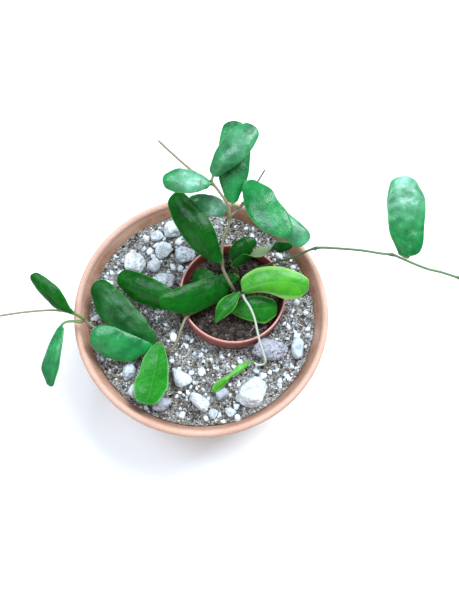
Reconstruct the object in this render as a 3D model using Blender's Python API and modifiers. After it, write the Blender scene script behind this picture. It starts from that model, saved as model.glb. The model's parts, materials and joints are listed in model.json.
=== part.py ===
"""A young hoya in a nursery pot, sunk in a bowl of gritty mix.

The origin is the centre of the bowl's flat foot, +Z is up and the longest vine
leaves towards +X. Sizes below are in millimetres; the scene is in metres.
"""

import math
import random

import bmesh
import bpy
from mathutils import Vector, noise

MM = 0.001
GAP = 0.35

# Bowl.
BOWL_HEIGHT = 76.0
BOWL_RIM_RADIUS = 78.0
BOWL_LIP_INNER_RADIUS = 73.9
BOWL_FLOOR_RADIUS = 47.0
BOWL_FOOT_RADIUS = 50.0
BOWL_FLOOR = 7.0
BOWL_STEPS = 48

# Gritty mix in the bowl.
MIX_LEVEL = 65.4
MIX_RADIUS = 70.0

# Nursery pot.
POT_X = 17.0
POT_Y = 12.0
POT_RADIUS = 33.0
POT_LIP_DEPTH = 12.0
POT_BASE = 18.0
POT_BASE_RADIUS = 23.0
POT_WALL = 1.3
POT_STEPS = 32
SOIL_LEVEL = 68.0
SOIL_ROOM_RADIUS = 29.9
SOIL_FLOOR_RADIUS = 21.3

# Where each vine goes into the potting soil, and how deep.
ROOT_DEPTH = 9.0
ROOTS = {
    "upright": (19.0, 12.5),
    "left": (11.5, 16.0),
    "right": (23.0, 27.0),
    "front": (24.0, 9.0),
    "inner": (20.0, 22.5),
}

VINE_SIDES = 6
LEAF_SIDES = 8
LEAF_STATIONS = 10
LEAF_BLUNTNESS = 11.0
LEAF_THICKNESS = 1.7
PETIOLE_RADIUS = 0.75
PETIOLE_STATIONS = 3

FACING = (0.0, -0.34, 0.94)

COLOURS = {
    "terracotta": (0.70, 0.44, 0.32, 0.85),
    "gritty_mix": (0.30, 0.26, 0.22, 0.95),
    "pot_plastic": (0.42, 0.13, 0.09, 0.45),
    "peat": (0.06, 0.035, 0.025, 0.95),
    "leaf_green": (0.02, 0.16, 0.03, 0.35),
    "leaf_lime": (0.14, 0.42, 0.02, 0.35),
    "stem_pale": (0.42, 0.42, 0.22, 0.55),
    "stem_green": (0.08, 0.16, 0.04, 0.5),
    "pumice": (0.72, 0.74, 0.78, 0.9),
}

# Each vine: material, radius at the root, radius at the tip, and the route of its
# middle line, chosen by hand, from just above the soil to the tip.
VINES = {
    "vine_upright": ("stem_pale", 1.05, 0.4, [
        (18, 12, 77), (15, 13, 84), (10, 18, 90), (8, 22, 94), (7, 27, 100), (7, 32, 105),
        (9, 38, 110), (9, 42, 114), (7, 46, 119), (3, 49, 123), (-3, 53, 127),
        (-10, 57, 125.5), (-18.5, 62, 126.5), (-28, 67, 130), (-36, 71, 134)]),
    "vine_upright_branch": ("stem_pale", 0.8, 0.3, [
        (11, 43.5, 114), (13, 46.5, 115), (16, 51, 117), (19, 57, 119), (22, 62, 123),
        (25, 66, 129)]),
    "vine_left": ("stem_pale", 0.85, 0.35, [
        (9.5, 12, 71), (5, 4, 73.5), (-1, -3, 77), (-8, -9, 78.7), (-10.5, -17, 77.5),
        (-12, -24, 74), (-16, -30, 71.5), (-23, -31, 70), (-30, -31, 71), (-39, -30, 73),
        (-51, -27, 76), (-59, -25, 79), (-64, -23, 82.5), (-69, -21, 85), (-75, -19.5, 85.5),
        (-81, -19.5, 86.5), (-88, -21, 88), (-101, -25, 89.5), (-114, -30, 91)]),
    "vine_right": ("stem_green", 0.75, 0.6, [
        (24.5, 28, 73), (28, 28.5, 76), (33, 30.5, 79), (42, 33.5, 83), (52, 36.5, 87.5),
        (59, 39.5, 92), (65, 41, 94.5), (76, 41.2, 96.5), (89, 41, 98.5), (100, 40, 100),
        (108, 39.5, 101), (113, 37.5, 101.7), (126, 32.5, 103.5), (135, 30.5, 105),
        (146, 27, 107)]),
    "vine_front": ("stem_pale", 0.8, 0.6, [
        (23.5, 8, 78), (23, 7, 85), (24.5, 3.5, 87.3), (28, -0.5, 86.5), (31.5, -6, 84.5),
        (34, -12, 82), (36.5, -18, 79.5), (39.5, -23.5, 76.8), (41.8, -28, 74), (41, -30, 72.7),
        (38, -30.6, 71.8), (35.5, -29.6, 71.3)]),
    "vine_inner": ("stem_green", 1.0, 0.8, [
        (19, 24, 73), (17, 26.5, 78), (15, 28, 81)]),
}

# Each leaf: material, where its stalk starts, where the blade starts, the tip, the half
# widths of its left and right side at five places from base to tip, which way the blade
# faces at its base, middle and tip, how far its middle arches up, how far its middle
# goes to its left, and how far its margins turn down.
LEAVES = {
    "leaf_crown_top": ("leaf_green", (-3.5, 54.5, 128.3), (-3, 56.3, 129.5), (16.5, 81.5, 143),
        (4.7, 7.5, 8.8, 9.6, 7.4), (3.7, 5.8, 7, 6.9, 5),
        (0.1, -0.5, 0.85), (-0.1, -0.2, 0.96), (0, -0.3, 0.95),
        3, 0, 1.5),
    "leaf_crown_left": ("leaf_green", (-4.2, 51.4, 128.3), (-4, 50.5, 130), (-29, 46, 133),
        (3.7, 6.3, 7.1, 6.6, 4.9), (4.4, 7, 7.5, 6.9, 4.4),
        (0.2, 0, 0.95), (0.2, 0.02, 0.97), (-0.1, -0.3, 0.95),
        2.5, 0, 1.5),
    "leaf_crown_back": ("leaf_green", (12, 46.5, 117.5), (9.5, 48.5, 117.5), (4, 90, 136),
        (5.6, 8.3, 8.5, 8.4, 7.6), (4, 7.8, 9.3, 9.6, 8.2),
        (0, -0.4, 0.9), (0.1, -0.45, 0.85), (0.1, -0.4, 0.85),
        3, 0, 1.5),
    "leaf_branch_front": ("leaf_green", (17, 52.5, 119), (15, 57.5, 126.5), (42, 28.5, 126),
        (5.5, 8.4, 7.3, 7.2, 5.4), (5, 9, 10.8, 10, 6.5),
        (0, -0.3, 0.95), (0.1, -0.4, 0.9), (0, -0.35, 0.93),
        2, 0, 1.2),
    "leaf_branch_right": ("leaf_green", (20, 56, 116.8), (22, 56, 115), (55, 34, 112),
        (3, 4.6, 5, 5.4, 5), (4, 6.5, 7.2, 7.8, 7.2),
        (0, -0.2, 0.95), (-0.1, -0.2, 0.97), (-0.1, -0.2, 0.97),
        2.5, 0, 1.2),
    "leaf_mid_small": ("leaf_green", (7.3, 41.5, 112.3), (6, 50.5, 105.5), (-17, 53, 107),
        (5.6, 7, 7, 6.2, 4.8), (5, 7, 7, 6.4, 4.8),
        (0.2, 0, 0.95), (0.24, 0.08, 0.96), (0.2, 0, 0.95),
        2, 0, 1),
    "leaf_mid_long": ("leaf_green", (5.8, 22.9, 95.7), (7, 20.5, 97.5), (-24.5, 53, 113),
        (4.4, 8, 8.9, 8.9, 7.6), (4.4, 8, 8.8, 8.2, 5.4),
        (0, -0.4, 0.9), (0, -0.45, 0.9), (0, -0.45, 0.9),
        4, 1, 1.8),
    "leaf_over_rim": ("leaf_green", (16.2, 23.8, 76.2), (18.5, 20, 79), (-24.5, -6.5, 92),
        (3.2, 7.2, 9, 9.2, 6.6), (6.8, 8.6, 8.6, 7.6, 5.2),
        (0, -0.5, 0.85), (0.05, -0.52, 0.85), (0.1, -0.4, 0.9),
        2, 3.5, 1.6),
    "leaf_pot_back": ("leaf_green", (14.5, 29.6, 80.4), (12.5, 31, 82.5), (26.5, 43.5, 88),
        (3.8, 6, 6.4, 5.6, 3.6), (3.5, 5, 5, 4.5, 3.2),
        (0, -0.5, 0.85), (0, -0.6, 0.8), (0, -0.6, 0.8),
        1.5, 0.5, 1),
    "leaf_pot_twisted": ("leaf_green", (15.2, 25.9, 81.4), (14, 26.3, 84.5), (48.5, 39.5, 95),
        (2.2, 4.4, 5.4, 4.4, 2.4), (2.2, 4.4, 5.6, 4.2, 2.2),
        (0.1, -0.5, 0.8), (0.1, -0.75, 0.62), (0, -0.5, 0.85),
        1, 1.5, 0.5),
    "leaf_lime_front": ("leaf_lime", (23.4, 8.8, 87), (22.5, 8.3, 88.3), (60.5, 14.5, 93),
        (8.4, 9.9, 9.4, 8.2, 6), (3.3, 5, 8, 9.9, 8),
        (0, -0.35, 0.93), (0, -0.4, 0.9), (0, -0.35, 0.93),
        3, 4, 2),
    "leaf_in_pot_front": ("leaf_green", (21.4, 6.6, 71.6), (17.5, 0.2, 75.3), (45, 5, 78.5),
        (3.5, 6.6, 8.2, 7.6, 5.6), (3.8, 6.4, 8.4, 9.3, 6.4),
        (0, -0.35, 0.95), (0, -0.4, 0.9), (0, -0.3, 0.95),
        2, 0, 1.5),
    "leaf_young_front": ("leaf_green", (21.2, 6.2, 85.6), (20, 6, 89), (9.5, -11.5, 82),
        (2.2, 3.7, 3.9, 2.6, 0.9), (3, 5.2, 5.8, 5, 2.2),
        (-0.2, -0.3, 0.9), (-0.2, -0.4, 0.88), (-0.3, -0.3, 0.85),
        2, 0, 1),
    "leaf_in_pot_left": ("leaf_green", (8.2, 15.6, 71.4), (6, 17, 72), (-9.5, 21, 73),
        (3.6, 6, 6.5, 6, 4.4), (3.6, 6, 6.5, 6, 4.4),
        (0, -0.2, 0.97), (0, -0.2, 0.97), (0, -0.2, 0.97),
        1.5, 0, 1),
    "leaf_low_left": ("leaf_green", (-10.2, -8.5, 79.6), (-10.5, -3, 80), (-54, 10, 80),
        (4.6, 8.4, 9.3, 9.5, 6.4), (4.4, 6.6, 7.2, 7.3, 6.4),
        (0, -0.5, 0.86), (0, -0.5, 0.86), (0, -0.4, 0.9),
        2.5, 0, 1.8),
    "leaf_bowl_big": ("leaf_green", (-22.5, -29.4, 71), (-25, -28, 73.5), (-67, 2.5, 81),
        (5, 9.4, 11.4, 11.2, 6.8), (5, 7.5, 7.8, 8, 7),
        (0, -0.45, 0.9), (-0.12, -0.25, 0.96), (-0.2, -0.2, 0.95),
        2.5, 0, 1.5),
    "leaf_bowl_round": ("leaf_green", (-27, -32, 72.6), (-25.5, -30.5, 75.5), (-61, -31, 82),
        (4.6, 10, 11, 9.8, 6.6), (3.4, 5.4, 7.2, 8.6, 7.6),
        (0, -0.5, 0.88), (-0.1, -0.3, 0.95), (-0.2, -0.2, 0.96),
        3, 0, 1.5),
    "leaf_bright_front": ("leaf_lime", (-18.6, -30.6, 72.2), (-21.3, -28.5, 79), (-21.5, -64.5, 81),
        (3.8, 6.8, 8.4, 9.4, 7), (5.2, 8.2, 8.9, 9.9, 8.4),
        (0, -0.45, 0.9), (-0.1, -0.45, 0.9), (-0.15, -0.2, 0.97),
        -1, 0.5, -1.2),
    "leaf_outer_top": ("leaf_green", (-65.8, -21.8, 86.2), (-71.5, -20.5, 90), (-97.5, -4.5, 98),
        (2.8, 5.2, 5, 4.6, 3.6), (1.2, 4, 6, 5.2, 4),
        (-0.2, -0.5, 0.8), (-0.25, -0.55, 0.8), (-0.3, -0.5, 0.8),
        1.5, 0, 1),
    "leaf_outer_low": ("leaf_green", (-67, -23.8, 84.6), (-77, -28.5, 87), (-76, -62, 80),
        (2.6, 3.8, 4, 3.6, 2), (3, 4.6, 6, 8, 4),
        (-0.3, -0.3, 0.9), (-0.3, -0.4, 0.88), (-0.2, -0.4, 0.9),
        2.5, 0, 1),
    "leaf_far_right": ("leaf_green", (110.5, 40.6, 102.6), (115.5, 38.2, 104.4), (106, 80.5, 122),
        (7, 9.9, 11, 11.1, 9), (7.4, 9, 9.9, 11, 9),
        (-0.2, -0.5, 0.87), (0.1, -0.3, 0.95), (0.15, -0.1, 0.97),
        2.5, 0, 1.8),
    "leaf_shoot_tip": ("leaf_lime", (34.7, -29.3, 71.2), (32.3, -30, 71), (13.5, -50, 71),
        (1.5, 1.7, 1.1, 2, 2.1), (1.5, 1.7, 1.1, 2, 2.1),
        (0, -0.3, 0.95), (0, -0.3, 0.95), (0, -0.3, 0.95),
        2, -1, 0.3),
}

# Each stone: centre in plan, length, width, height, and the angle of its length.
STONES = {
    "stone_back_large": (-28.5, 54.0, 14.0, 12.0, 9.0, 80),
    "stone_back_small": (-38.0, 47.0, 8.5, 7.5, 6.0, 10),
    "stone_back_mid": (-31.5, 37.0, 12.5, 11.0, 8.0, 70),
    "stone_back_rough": (-17.5, 36.0, 13.5, 12.5, 8.0, 20),
    "stone_left_large": (-48.0, 24.5, 14.0, 13.0, 9.0, 30),
    "stone_left_mid": (-35.8, 26.0, 10.5, 8.0, 7.0, 85),
    "stone_left_low": (-27.5, 16.5, 12.5, 10.0, 7.0, 0),
    "stone_pitted": (45.0, -19.5, 22.5, 13.5, 7.5, 5),
    "stone_smooth": (61.0, -15.5, 14.5, 8.0, 6.5, 98),
    "stone_front_large": (36.0, -47.0, 19.0, 17.0, 11.0, 60),
    "stone_front_blue": (19.0, -50.5, 8.5, 8.0, 6.0, 45),
    "stone_front_long": (6.5, -57.0, 14.0, 8.0, 7.0, 145),
    "stone_front_left": (-6.0, -44.5, 14.5, 9.5, 7.0, 150),
    "stone_edge_left": (-33.0, -56.0, 9.0, 6.0, 5.5, 100),
    "stone_edge_front": (-14.5, -61.5, 11.5, 8.0, 6.5, 10),
    "stone_rough_left": (-37.5, -45.0, 11.5, 7.5, 6.0, 90),
    "stone_front_chip": (25.5, -60.0, 7.0, 5.5, 4.5, 20),
    "stone_front_pebble": (15.5, -62.5, 6.0, 5.5, 4.5, 70),
}


def make_material(name):
    red, green, blue, rough = COLOURS[name]
    material = bpy.data.materials.new(name)
    material.use_nodes = True
    shader = material.node_tree.nodes["Principled BSDF"]
    shader.inputs["Base Color"].default_value = (red, green, blue, 1.0)
    shader.inputs["Roughness"].default_value = rough
    shader.inputs["Metallic"].default_value = 0.0
    material.diffuse_color = (red, green, blue, 1.0)
    return material


def make_collection(name, hidden):
    collection = bpy.data.collections.new(name)
    bpy.context.scene.collection.children.link(collection)
    collection.hide_render = hidden
    return collection


def add_object(name, data, material, collection):
    obj = bpy.data.objects.new(name, data)
    if material is not None:
        data.materials.append(material)
    collection.objects.link(obj)
    return obj


def turned(name, profile, steps, material, collection):
    """A profile of (radius, height) turned round Z; its outer side runs top to bottom."""
    mesh = bpy.data.meshes.new(name)
    points = [(radius * MM, 0.0, height * MM) for radius, height in profile]
    edges = [(index, index + 1) for index in range(len(points) - 1)]
    mesh.from_pydata(points, edges, [])
    obj = add_object(name, mesh, material, collection)
    screw = obj.modifiers.new("Screw", "SCREW")
    screw.steps = steps
    screw.render_steps = steps
    screw.use_merge_vertices = True
    screw.merge_threshold = 0.00001
    return obj


def make_bowl(materials, collection):
    lip = BOWL_HEIGHT - 2.2
    middle = 0.5 * (BOWL_RIM_RADIUS + BOWL_LIP_INNER_RADIUS)
    profile = [
        (0.0, BOWL_FLOOR),
        (BOWL_FLOOR_RADIUS, BOWL_FLOOR),
        (BOWL_FLOOR_RADIUS + 4.0, BOWL_FLOOR + 4.0),
        (BOWL_LIP_INNER_RADIUS, lip),
        (BOWL_LIP_INNER_RADIUS + 0.6, BOWL_HEIGHT - 0.6),
        (middle, BOWL_HEIGHT),
        (BOWL_RIM_RADIUS - 0.6, BOWL_HEIGHT - 0.6),
        (BOWL_RIM_RADIUS, lip),
        (BOWL_RIM_RADIUS - 0.8, lip - 4.0),
        (BOWL_FOOT_RADIUS + 2.0, 2.5),
        (BOWL_FOOT_RADIUS, 0.0),
        (0.0, 0.0),
    ]
    return turned("bowl", profile, BOWL_STEPS, materials["terracotta"], collection)


def make_pot(materials, collection):
    step = BOWL_HEIGHT - POT_LIP_DEPTH
    body = POT_RADIUS - 1.8
    profile = [
        (0.0, POT_BASE + POT_WALL),
        (POT_BASE_RADIUS - POT_WALL, POT_BASE + POT_WALL),
        (body - POT_WALL, step - 1.0),
        (POT_RADIUS - POT_WALL, step + 1.5),
        (POT_RADIUS - POT_WALL, BOWL_HEIGHT),
        (POT_RADIUS, BOWL_HEIGHT),
        (POT_RADIUS, step),
        (body, step - 1.0),
        (POT_BASE_RADIUS, POT_BASE),
        (0.0, POT_BASE),
    ]
    pot = turned("nursery_pot", profile, POT_STEPS, materials["pot_plastic"], collection)
    pot.location = (POT_X * MM, POT_Y * MM, 0.0)
    return pot


def make_mix(materials, collection, cutters):
    inner = BOWL_FLOOR + GAP
    profile = [
        (0.0, MIX_LEVEL),
        (MIX_RADIUS, MIX_LEVEL),
        (BOWL_FLOOR_RADIUS + 4.0 - 1.5 * GAP, BOWL_FLOOR + 4.0),
        (BOWL_FLOOR_RADIUS - 2.0 * GAP, inner),
        (0.0, inner),
    ]
    mix = turned("bowl_mix", profile, BOWL_STEPS, materials["gritty_mix"], collection)
    step = BOWL_HEIGHT - POT_LIP_DEPTH
    pocket_profile = [
        (0.0, BOWL_HEIGHT),
        (POT_RADIUS + GAP + 0.1, BOWL_HEIGHT),
        (POT_RADIUS + GAP + 0.1, step - GAP),
        (POT_RADIUS - 1.8 + GAP + 0.1, step - 1.0 - GAP),
        (POT_BASE_RADIUS + GAP + 0.1, POT_BASE - GAP),
        (0.0, POT_BASE - GAP),
    ]
    pocket = turned("pot_pocket", pocket_profile, POT_STEPS, None, cutters)
    pocket.location = (POT_X * MM, POT_Y * MM, 0.0)
    cut_with(mix, pocket)
    return mix


def cut_with(target, cutter):
    cutter.hide_render = True
    cutter.display_type = "WIRE"
    boolean = target.modifiers.new("Cut", "BOOLEAN")
    boolean.operation = "DIFFERENCE"
    boolean.solver = "EXACT"
    boolean.object = cutter


def make_soil(materials, collection, cutters):
    profile = [
        (0.0, SOIL_LEVEL),
        (SOIL_ROOM_RADIUS - GAP, SOIL_LEVEL),
        (SOIL_FLOOR_RADIUS, POT_BASE + POT_WALL + GAP),
        (0.0, POT_BASE + POT_WALL + GAP),
    ]
    soil = turned("pot_soil", profile, POT_STEPS, materials["peat"], collection)
    soil.location = (POT_X * MM, POT_Y * MM, 0.0)
    for name, (x, y) in ROOTS.items():
        mesh = bpy.data.meshes.new("root_hole_" + name)
        shape = bmesh.new()
        radius = (1.25 + GAP) * MM
        depth = 2.0 * (ROOT_DEPTH + 2.0 * GAP) * MM
        bmesh.ops.create_cone(shape, cap_ends=True, segments=12, radius1=radius,
                              radius2=radius, depth=depth)
        shape.to_mesh(mesh)
        shape.free()
        hole = add_object("root_hole_" + name, mesh, None, cutters)
        hole.location = (x * MM, y * MM, SOIL_LEVEL * MM)
        cut_with(soil, hole)
    return soil


def smooth_route(route, parts):
    """Points on a Catmull-Rom curve through the route, with parts steps per stretch."""
    points = [Vector(point) for point in route]
    first = points[0] * 2.0 - points[1]
    last = points[-1] * 2.0 - points[-2]
    padded = [first] + points + [last]
    result = []
    for index in range(1, len(padded) - 2):
        before, start, end, after = padded[index - 1:index + 3]
        for part in range(parts):
            t = part / parts
            linear = (end - before) * t
            square = (before * 2.0 - start * 5.0 + end * 4.0 - after) * t * t
            cube = (start * 3.0 - before - end * 3.0 + after) * t * t * t
            result.append((start * 2.0 + linear + square + cube) * 0.5)
    result.append(points[-1])
    return result


def make_vine(name, materials, collection):
    slot, root_radius, tip_radius, route = VINES[name]
    root = ROOTS.get(name.replace("vine_", ""))
    if root is not None:
        foot = (root[0], root[1], SOIL_LEVEL - ROOT_DEPTH)
        collar = (root[0], root[1], SOIL_LEVEL + 0.5)
        route = [foot, collar] + route
    points = smooth_route(route, 2)
    if root is not None:
        points[1] = Vector((root[0], root[1], SOIL_LEVEL - 0.5 * ROOT_DEPTH))
    curve = bpy.data.curves.new(name, "CURVE")
    curve.dimensions = "3D"
    curve.bevel_depth = MM
    curve.bevel_resolution = (VINE_SIDES - 4) // 2
    curve.use_fill_caps = True
    spline = curve.splines.new("POLY")
    spline.points.add(len(points) - 1)
    for index, point in enumerate(points):
        share = index / (len(points) - 1)
        spline.points[index].co = (point.x * MM, point.y * MM, point.z * MM, 1.0)
        spline.points[index].radius = root_radius + (tip_radius - root_radius) * share
    return add_object(name, curve, materials[slot], collection)


def blend_facing(facings, share):
    start, middle, end = (Vector(facing).normalized() for facing in facings)
    if share < 0.5:
        return start.lerp(middle, share * 2.0).normalized()
    return middle.lerp(end, share * 2.0 - 1.0).normalized()


def half_width(widths, t):
    """A smooth curve through five half widths, closed by a blunt round end."""
    place = min(max((t - 0.08) / 0.21, 0.0), 4.0)
    index = min(int(place), 3)
    share = place - index
    before, start = widths[max(index - 1, 0)], widths[index]
    end, after = widths[index + 1], widths[min(index + 2, 4)]
    bend = (2.0 * before - 5.0 * start + 4.0 * end - after) * share ** 2
    turn = (3.0 * start - before - 3.0 * end + after) * share ** 3
    width = 0.5 * (2.0 * start + (end - before) * share + bend + turn)
    return width * math.sqrt(max(0.0, 1.0 - abs(2.0 * t - 1.0) ** LEAF_BLUNTNESS))


def leaf_stations(leaf):
    """(centre, left half, right half, half thickness, t, drop), from stalk to tip."""
    stalk, base, tip = (Vector(point) for point in leaf[1:4])
    left_widths, right_widths, facings = leaf[4], leaf[5], leaf[6:9]
    arch, sway, drop = leaf[9:12]
    widest = max(left_widths + right_widths)
    chord = tip - base
    up = Vector(facings[1]).normalized()
    left = up.cross(chord).normalized()
    rise = chord.cross(left).normalized()
    start_way = (chord + (rise * arch + left * sway) * 4.0).normalized()
    corner = base - start_way * (0.4 * (base - stalk).length)
    stations = []
    for index in range(PETIOLE_STATIONS):
        t = index / PETIOLE_STATIONS
        centre = stalk * (1.0 - t) ** 2 + corner * (2.0 * t * (1.0 - t)) + base * t ** 2
        stations.append((centre, PETIOLE_RADIUS, PETIOLE_RADIUS, PETIOLE_RADIUS, 0.0, 0.0))
    for index in range(LEAF_STATIONS + 1):
        t = 0.5 - 0.5 * math.cos(math.pi * index / LEAF_STATIONS)
        bow = 4.0 * t * (1.0 - t)
        centre = base + chord * t + rise * (arch * bow) + left * (sway * bow)
        halves = (half_width(left_widths, t), half_width(right_widths, t))
        outline = min(1.0, 0.625 * sum(halves) / widest)
        least = 0.5 if index else PETIOLE_RADIUS
        thick = max(0.5 * LEAF_THICKNESS * outline ** 0.5, 0.3 if index else PETIOLE_RADIUS)
        stations.append((centre, max(halves[0], least), max(halves[1], least), thick, t,
                         drop * outline))
    return stations


def make_leaf(name, materials, collection):
    """A loft of flat rings from the round stalk through the broad blade to the tip."""
    leaf = LEAVES[name]
    stations = leaf_stations(leaf)
    shape = bmesh.new()
    rings = []
    # From tip to stalk, so that the stalk's rings carry on the turn of the blade's first one.
    for index in reversed(range(len(stations))):
        centre, left, right, thick, t, drop = stations[index]
        ahead = stations[min(index + 1, len(stations) - 1)][0]
        behind = stations[max(index - 1, 0)][0]
        along = (ahead - behind).normalized()
        if index >= PETIOLE_STATIONS:
            across = blend_facing(leaf[6:9], t).cross(along).normalized()
        else:
            across = (across - along * across.dot(along)).normalized()
        normal = along.cross(across)
        ring = []
        for side in range(LEAF_SIDES):
            angle = 2.0 * math.pi * side / LEAF_SIDES
            reach = math.cos(angle)
            lift = thick * math.sin(angle) - drop * reach * reach
            half = left if reach > 0.0 else right
            point = centre + across * (half * reach) + normal * lift
            ring.append(shape.verts.new(point * MM))
        rings.append(ring)
    for first, second in zip(rings, rings[1:]):
        for side in range(LEAF_SIDES):
            after = (side + 1) % LEAF_SIDES
            shape.faces.new((first[side], first[after], second[after], second[side]))
    shape.faces.new(list(reversed(rings[0])))
    shape.faces.new(rings[-1])
    bmesh.ops.recalc_face_normals(shape, faces=shape.faces)
    mesh = bpy.data.meshes.new(name)
    shape.to_mesh(mesh)
    shape.free()
    return add_object(name, mesh, materials[leaf[0]], collection)


def make_stone(name, materials, collection):
    """A lumpy pebble, cut flat where it rests on the mix."""
    x, y, length, width, height, angle = STONES[name]
    rng = random.Random(name)
    offset = Vector((rng.uniform(0, 50), rng.uniform(0, 50), rng.uniform(0, 50)))
    shape = bmesh.new()
    bmesh.ops.create_icosphere(shape, subdivisions=2, radius=1.0)
    for vert in shape.verts:
        lump = 1.0 + 0.14 * noise.noise(vert.co * 1.3 + offset)
        vert.co = Vector((vert.co.x * 0.5 * length * lump,
                          vert.co.y * 0.5 * width * lump,
                          vert.co.z * 0.62 * height * lump + 0.38 * height)) * MM
    cut = bmesh.ops.bisect_plane(shape, geom=shape.verts[:] + shape.edges[:] + shape.faces[:],
                                 plane_co=(0, 0, 0), plane_no=(0, 0, 1), clear_inner=True)
    edges = [part for part in cut["geom_cut"] if isinstance(part, bmesh.types.BMEdge)]
    bmesh.ops.edgeloop_fill(shape, edges=edges)
    bmesh.ops.recalc_face_normals(shape, faces=shape.faces)
    mesh = bpy.data.meshes.new(name)
    shape.to_mesh(mesh)
    shape.free()
    stone = add_object(name, mesh, materials["pumice"], collection)
    stone.location = (x * MM, y * MM, (MIX_LEVEL + GAP) * MM)
    stone.rotation_euler = (0.0, 0.0, math.radians(angle))
    return stone


def main():
    for obj in list(bpy.data.objects):
        bpy.data.objects.remove(obj, do_unlink=True)
    parts = make_collection("potted_hoya", False)
    cutters = make_collection("cutters", True)
    materials = {name: make_material(name) for name in COLOURS}
    make_bowl(materials, parts)
    make_mix(materials, parts, cutters)
    make_pot(materials, parts)
    make_soil(materials, parts, cutters)
    for name in VINES:
        make_vine(name, materials, parts)
    for name in LEAVES:
        make_leaf(name, materials, parts)
    for name in STONES:
        make_stone(name, materials, parts)


main()
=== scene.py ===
"""The finished look of a young hoya in a nursery pot, sunk in a clay bowl of gritty mix.

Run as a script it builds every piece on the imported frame. Each operator makes one piece
or one group of like pieces, and the panel in the 3D view's sidebar lists them.
"""

import json
import math
import random

import bpy
import numpy as np
from mathutils import Euler, Matrix, Vector, kdtree, noise

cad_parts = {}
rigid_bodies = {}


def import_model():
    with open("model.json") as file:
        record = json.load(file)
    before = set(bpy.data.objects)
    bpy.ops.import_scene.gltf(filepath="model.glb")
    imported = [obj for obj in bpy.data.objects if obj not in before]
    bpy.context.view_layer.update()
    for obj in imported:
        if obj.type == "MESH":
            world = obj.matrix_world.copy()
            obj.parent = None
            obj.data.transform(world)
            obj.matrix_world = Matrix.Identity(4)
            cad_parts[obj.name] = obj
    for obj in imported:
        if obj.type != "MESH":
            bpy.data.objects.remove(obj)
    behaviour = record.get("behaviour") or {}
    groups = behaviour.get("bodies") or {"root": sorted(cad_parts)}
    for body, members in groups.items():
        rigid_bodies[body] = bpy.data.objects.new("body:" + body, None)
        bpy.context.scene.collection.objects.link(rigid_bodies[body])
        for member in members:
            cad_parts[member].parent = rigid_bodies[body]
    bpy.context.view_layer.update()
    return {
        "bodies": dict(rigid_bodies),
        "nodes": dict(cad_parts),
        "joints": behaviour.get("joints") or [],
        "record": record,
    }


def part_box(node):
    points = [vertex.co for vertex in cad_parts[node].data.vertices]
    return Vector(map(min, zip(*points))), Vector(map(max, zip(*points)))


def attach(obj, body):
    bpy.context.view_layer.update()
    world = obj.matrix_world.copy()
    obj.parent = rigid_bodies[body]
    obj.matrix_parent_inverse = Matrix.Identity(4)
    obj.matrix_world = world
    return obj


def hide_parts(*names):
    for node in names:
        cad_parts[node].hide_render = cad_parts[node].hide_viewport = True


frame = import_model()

bl_info = {
    "name": "Potted hoya",
    "version": (1, 0, 0),
    "blender": (4, 5, 0),
    "location": "3D View > Sidebar > Hoya",
    "description": "Builds a trailing hoya in a nursery pot, sunk in a clay bowl of grit",
    "category": "Object",
}

MM = 0.001
UP = Vector((0.0, 0.0, 1.0))

# Heights and radii that the frame gives, in millimetres.
BOWL_LOW, BOWL_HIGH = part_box("bowl")
POT_LOW, POT_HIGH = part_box("nursery_pot")
BOWL_HEIGHT = BOWL_HIGH.z / MM
BOWL_RADIUS = BOWL_HIGH.x / MM
MIX_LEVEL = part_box("bowl_mix")[1].z / MM
SOIL_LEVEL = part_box("pot_soil")[1].z / MM
POT_RADIUS = 0.5 * (POT_HIGH.x - POT_LOW.x) / MM
POT_X = 0.5 * (POT_HIGH.x + POT_LOW.x) / MM
POT_Y = 0.5 * (POT_HIGH.y + POT_LOW.y) / MM
POT_BASE = POT_LOW.z / MM

# The bowl's and the pot's own measures, the mix's edge at the bowl's wall, and how deep
# and how wide the hollow in the mix in front of the pot is.
BOWL_WALL = 4.1
BOWL_FOOT_RADIUS = 50.0
BOWL_FLOOR = 7.0
BOWL_FLOOR_RADIUS = 47.0
POT_WALL = 1.3
POT_LIP_DEPTH = 12.0
POT_BASE_RADIUS = 23.0
SOIL_RADIUS = 31.2
MIX_EDGE = 70.7
HOLLOW_DEPTH = 5.0
HOLLOW_WIDTH = 9.0

# The camera: lens and sensor in millimetres, distance and target in metres.
SENSOR_WIDTH = 36.0
FOCAL_LENGTH = 28.28
VIEW_ELEVATION = 69.2
VIEW_ROLL = 8.2
VIEW_DISTANCE = 0.2944
VIEW_TARGET = (0.016, 0.0026)

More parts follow.
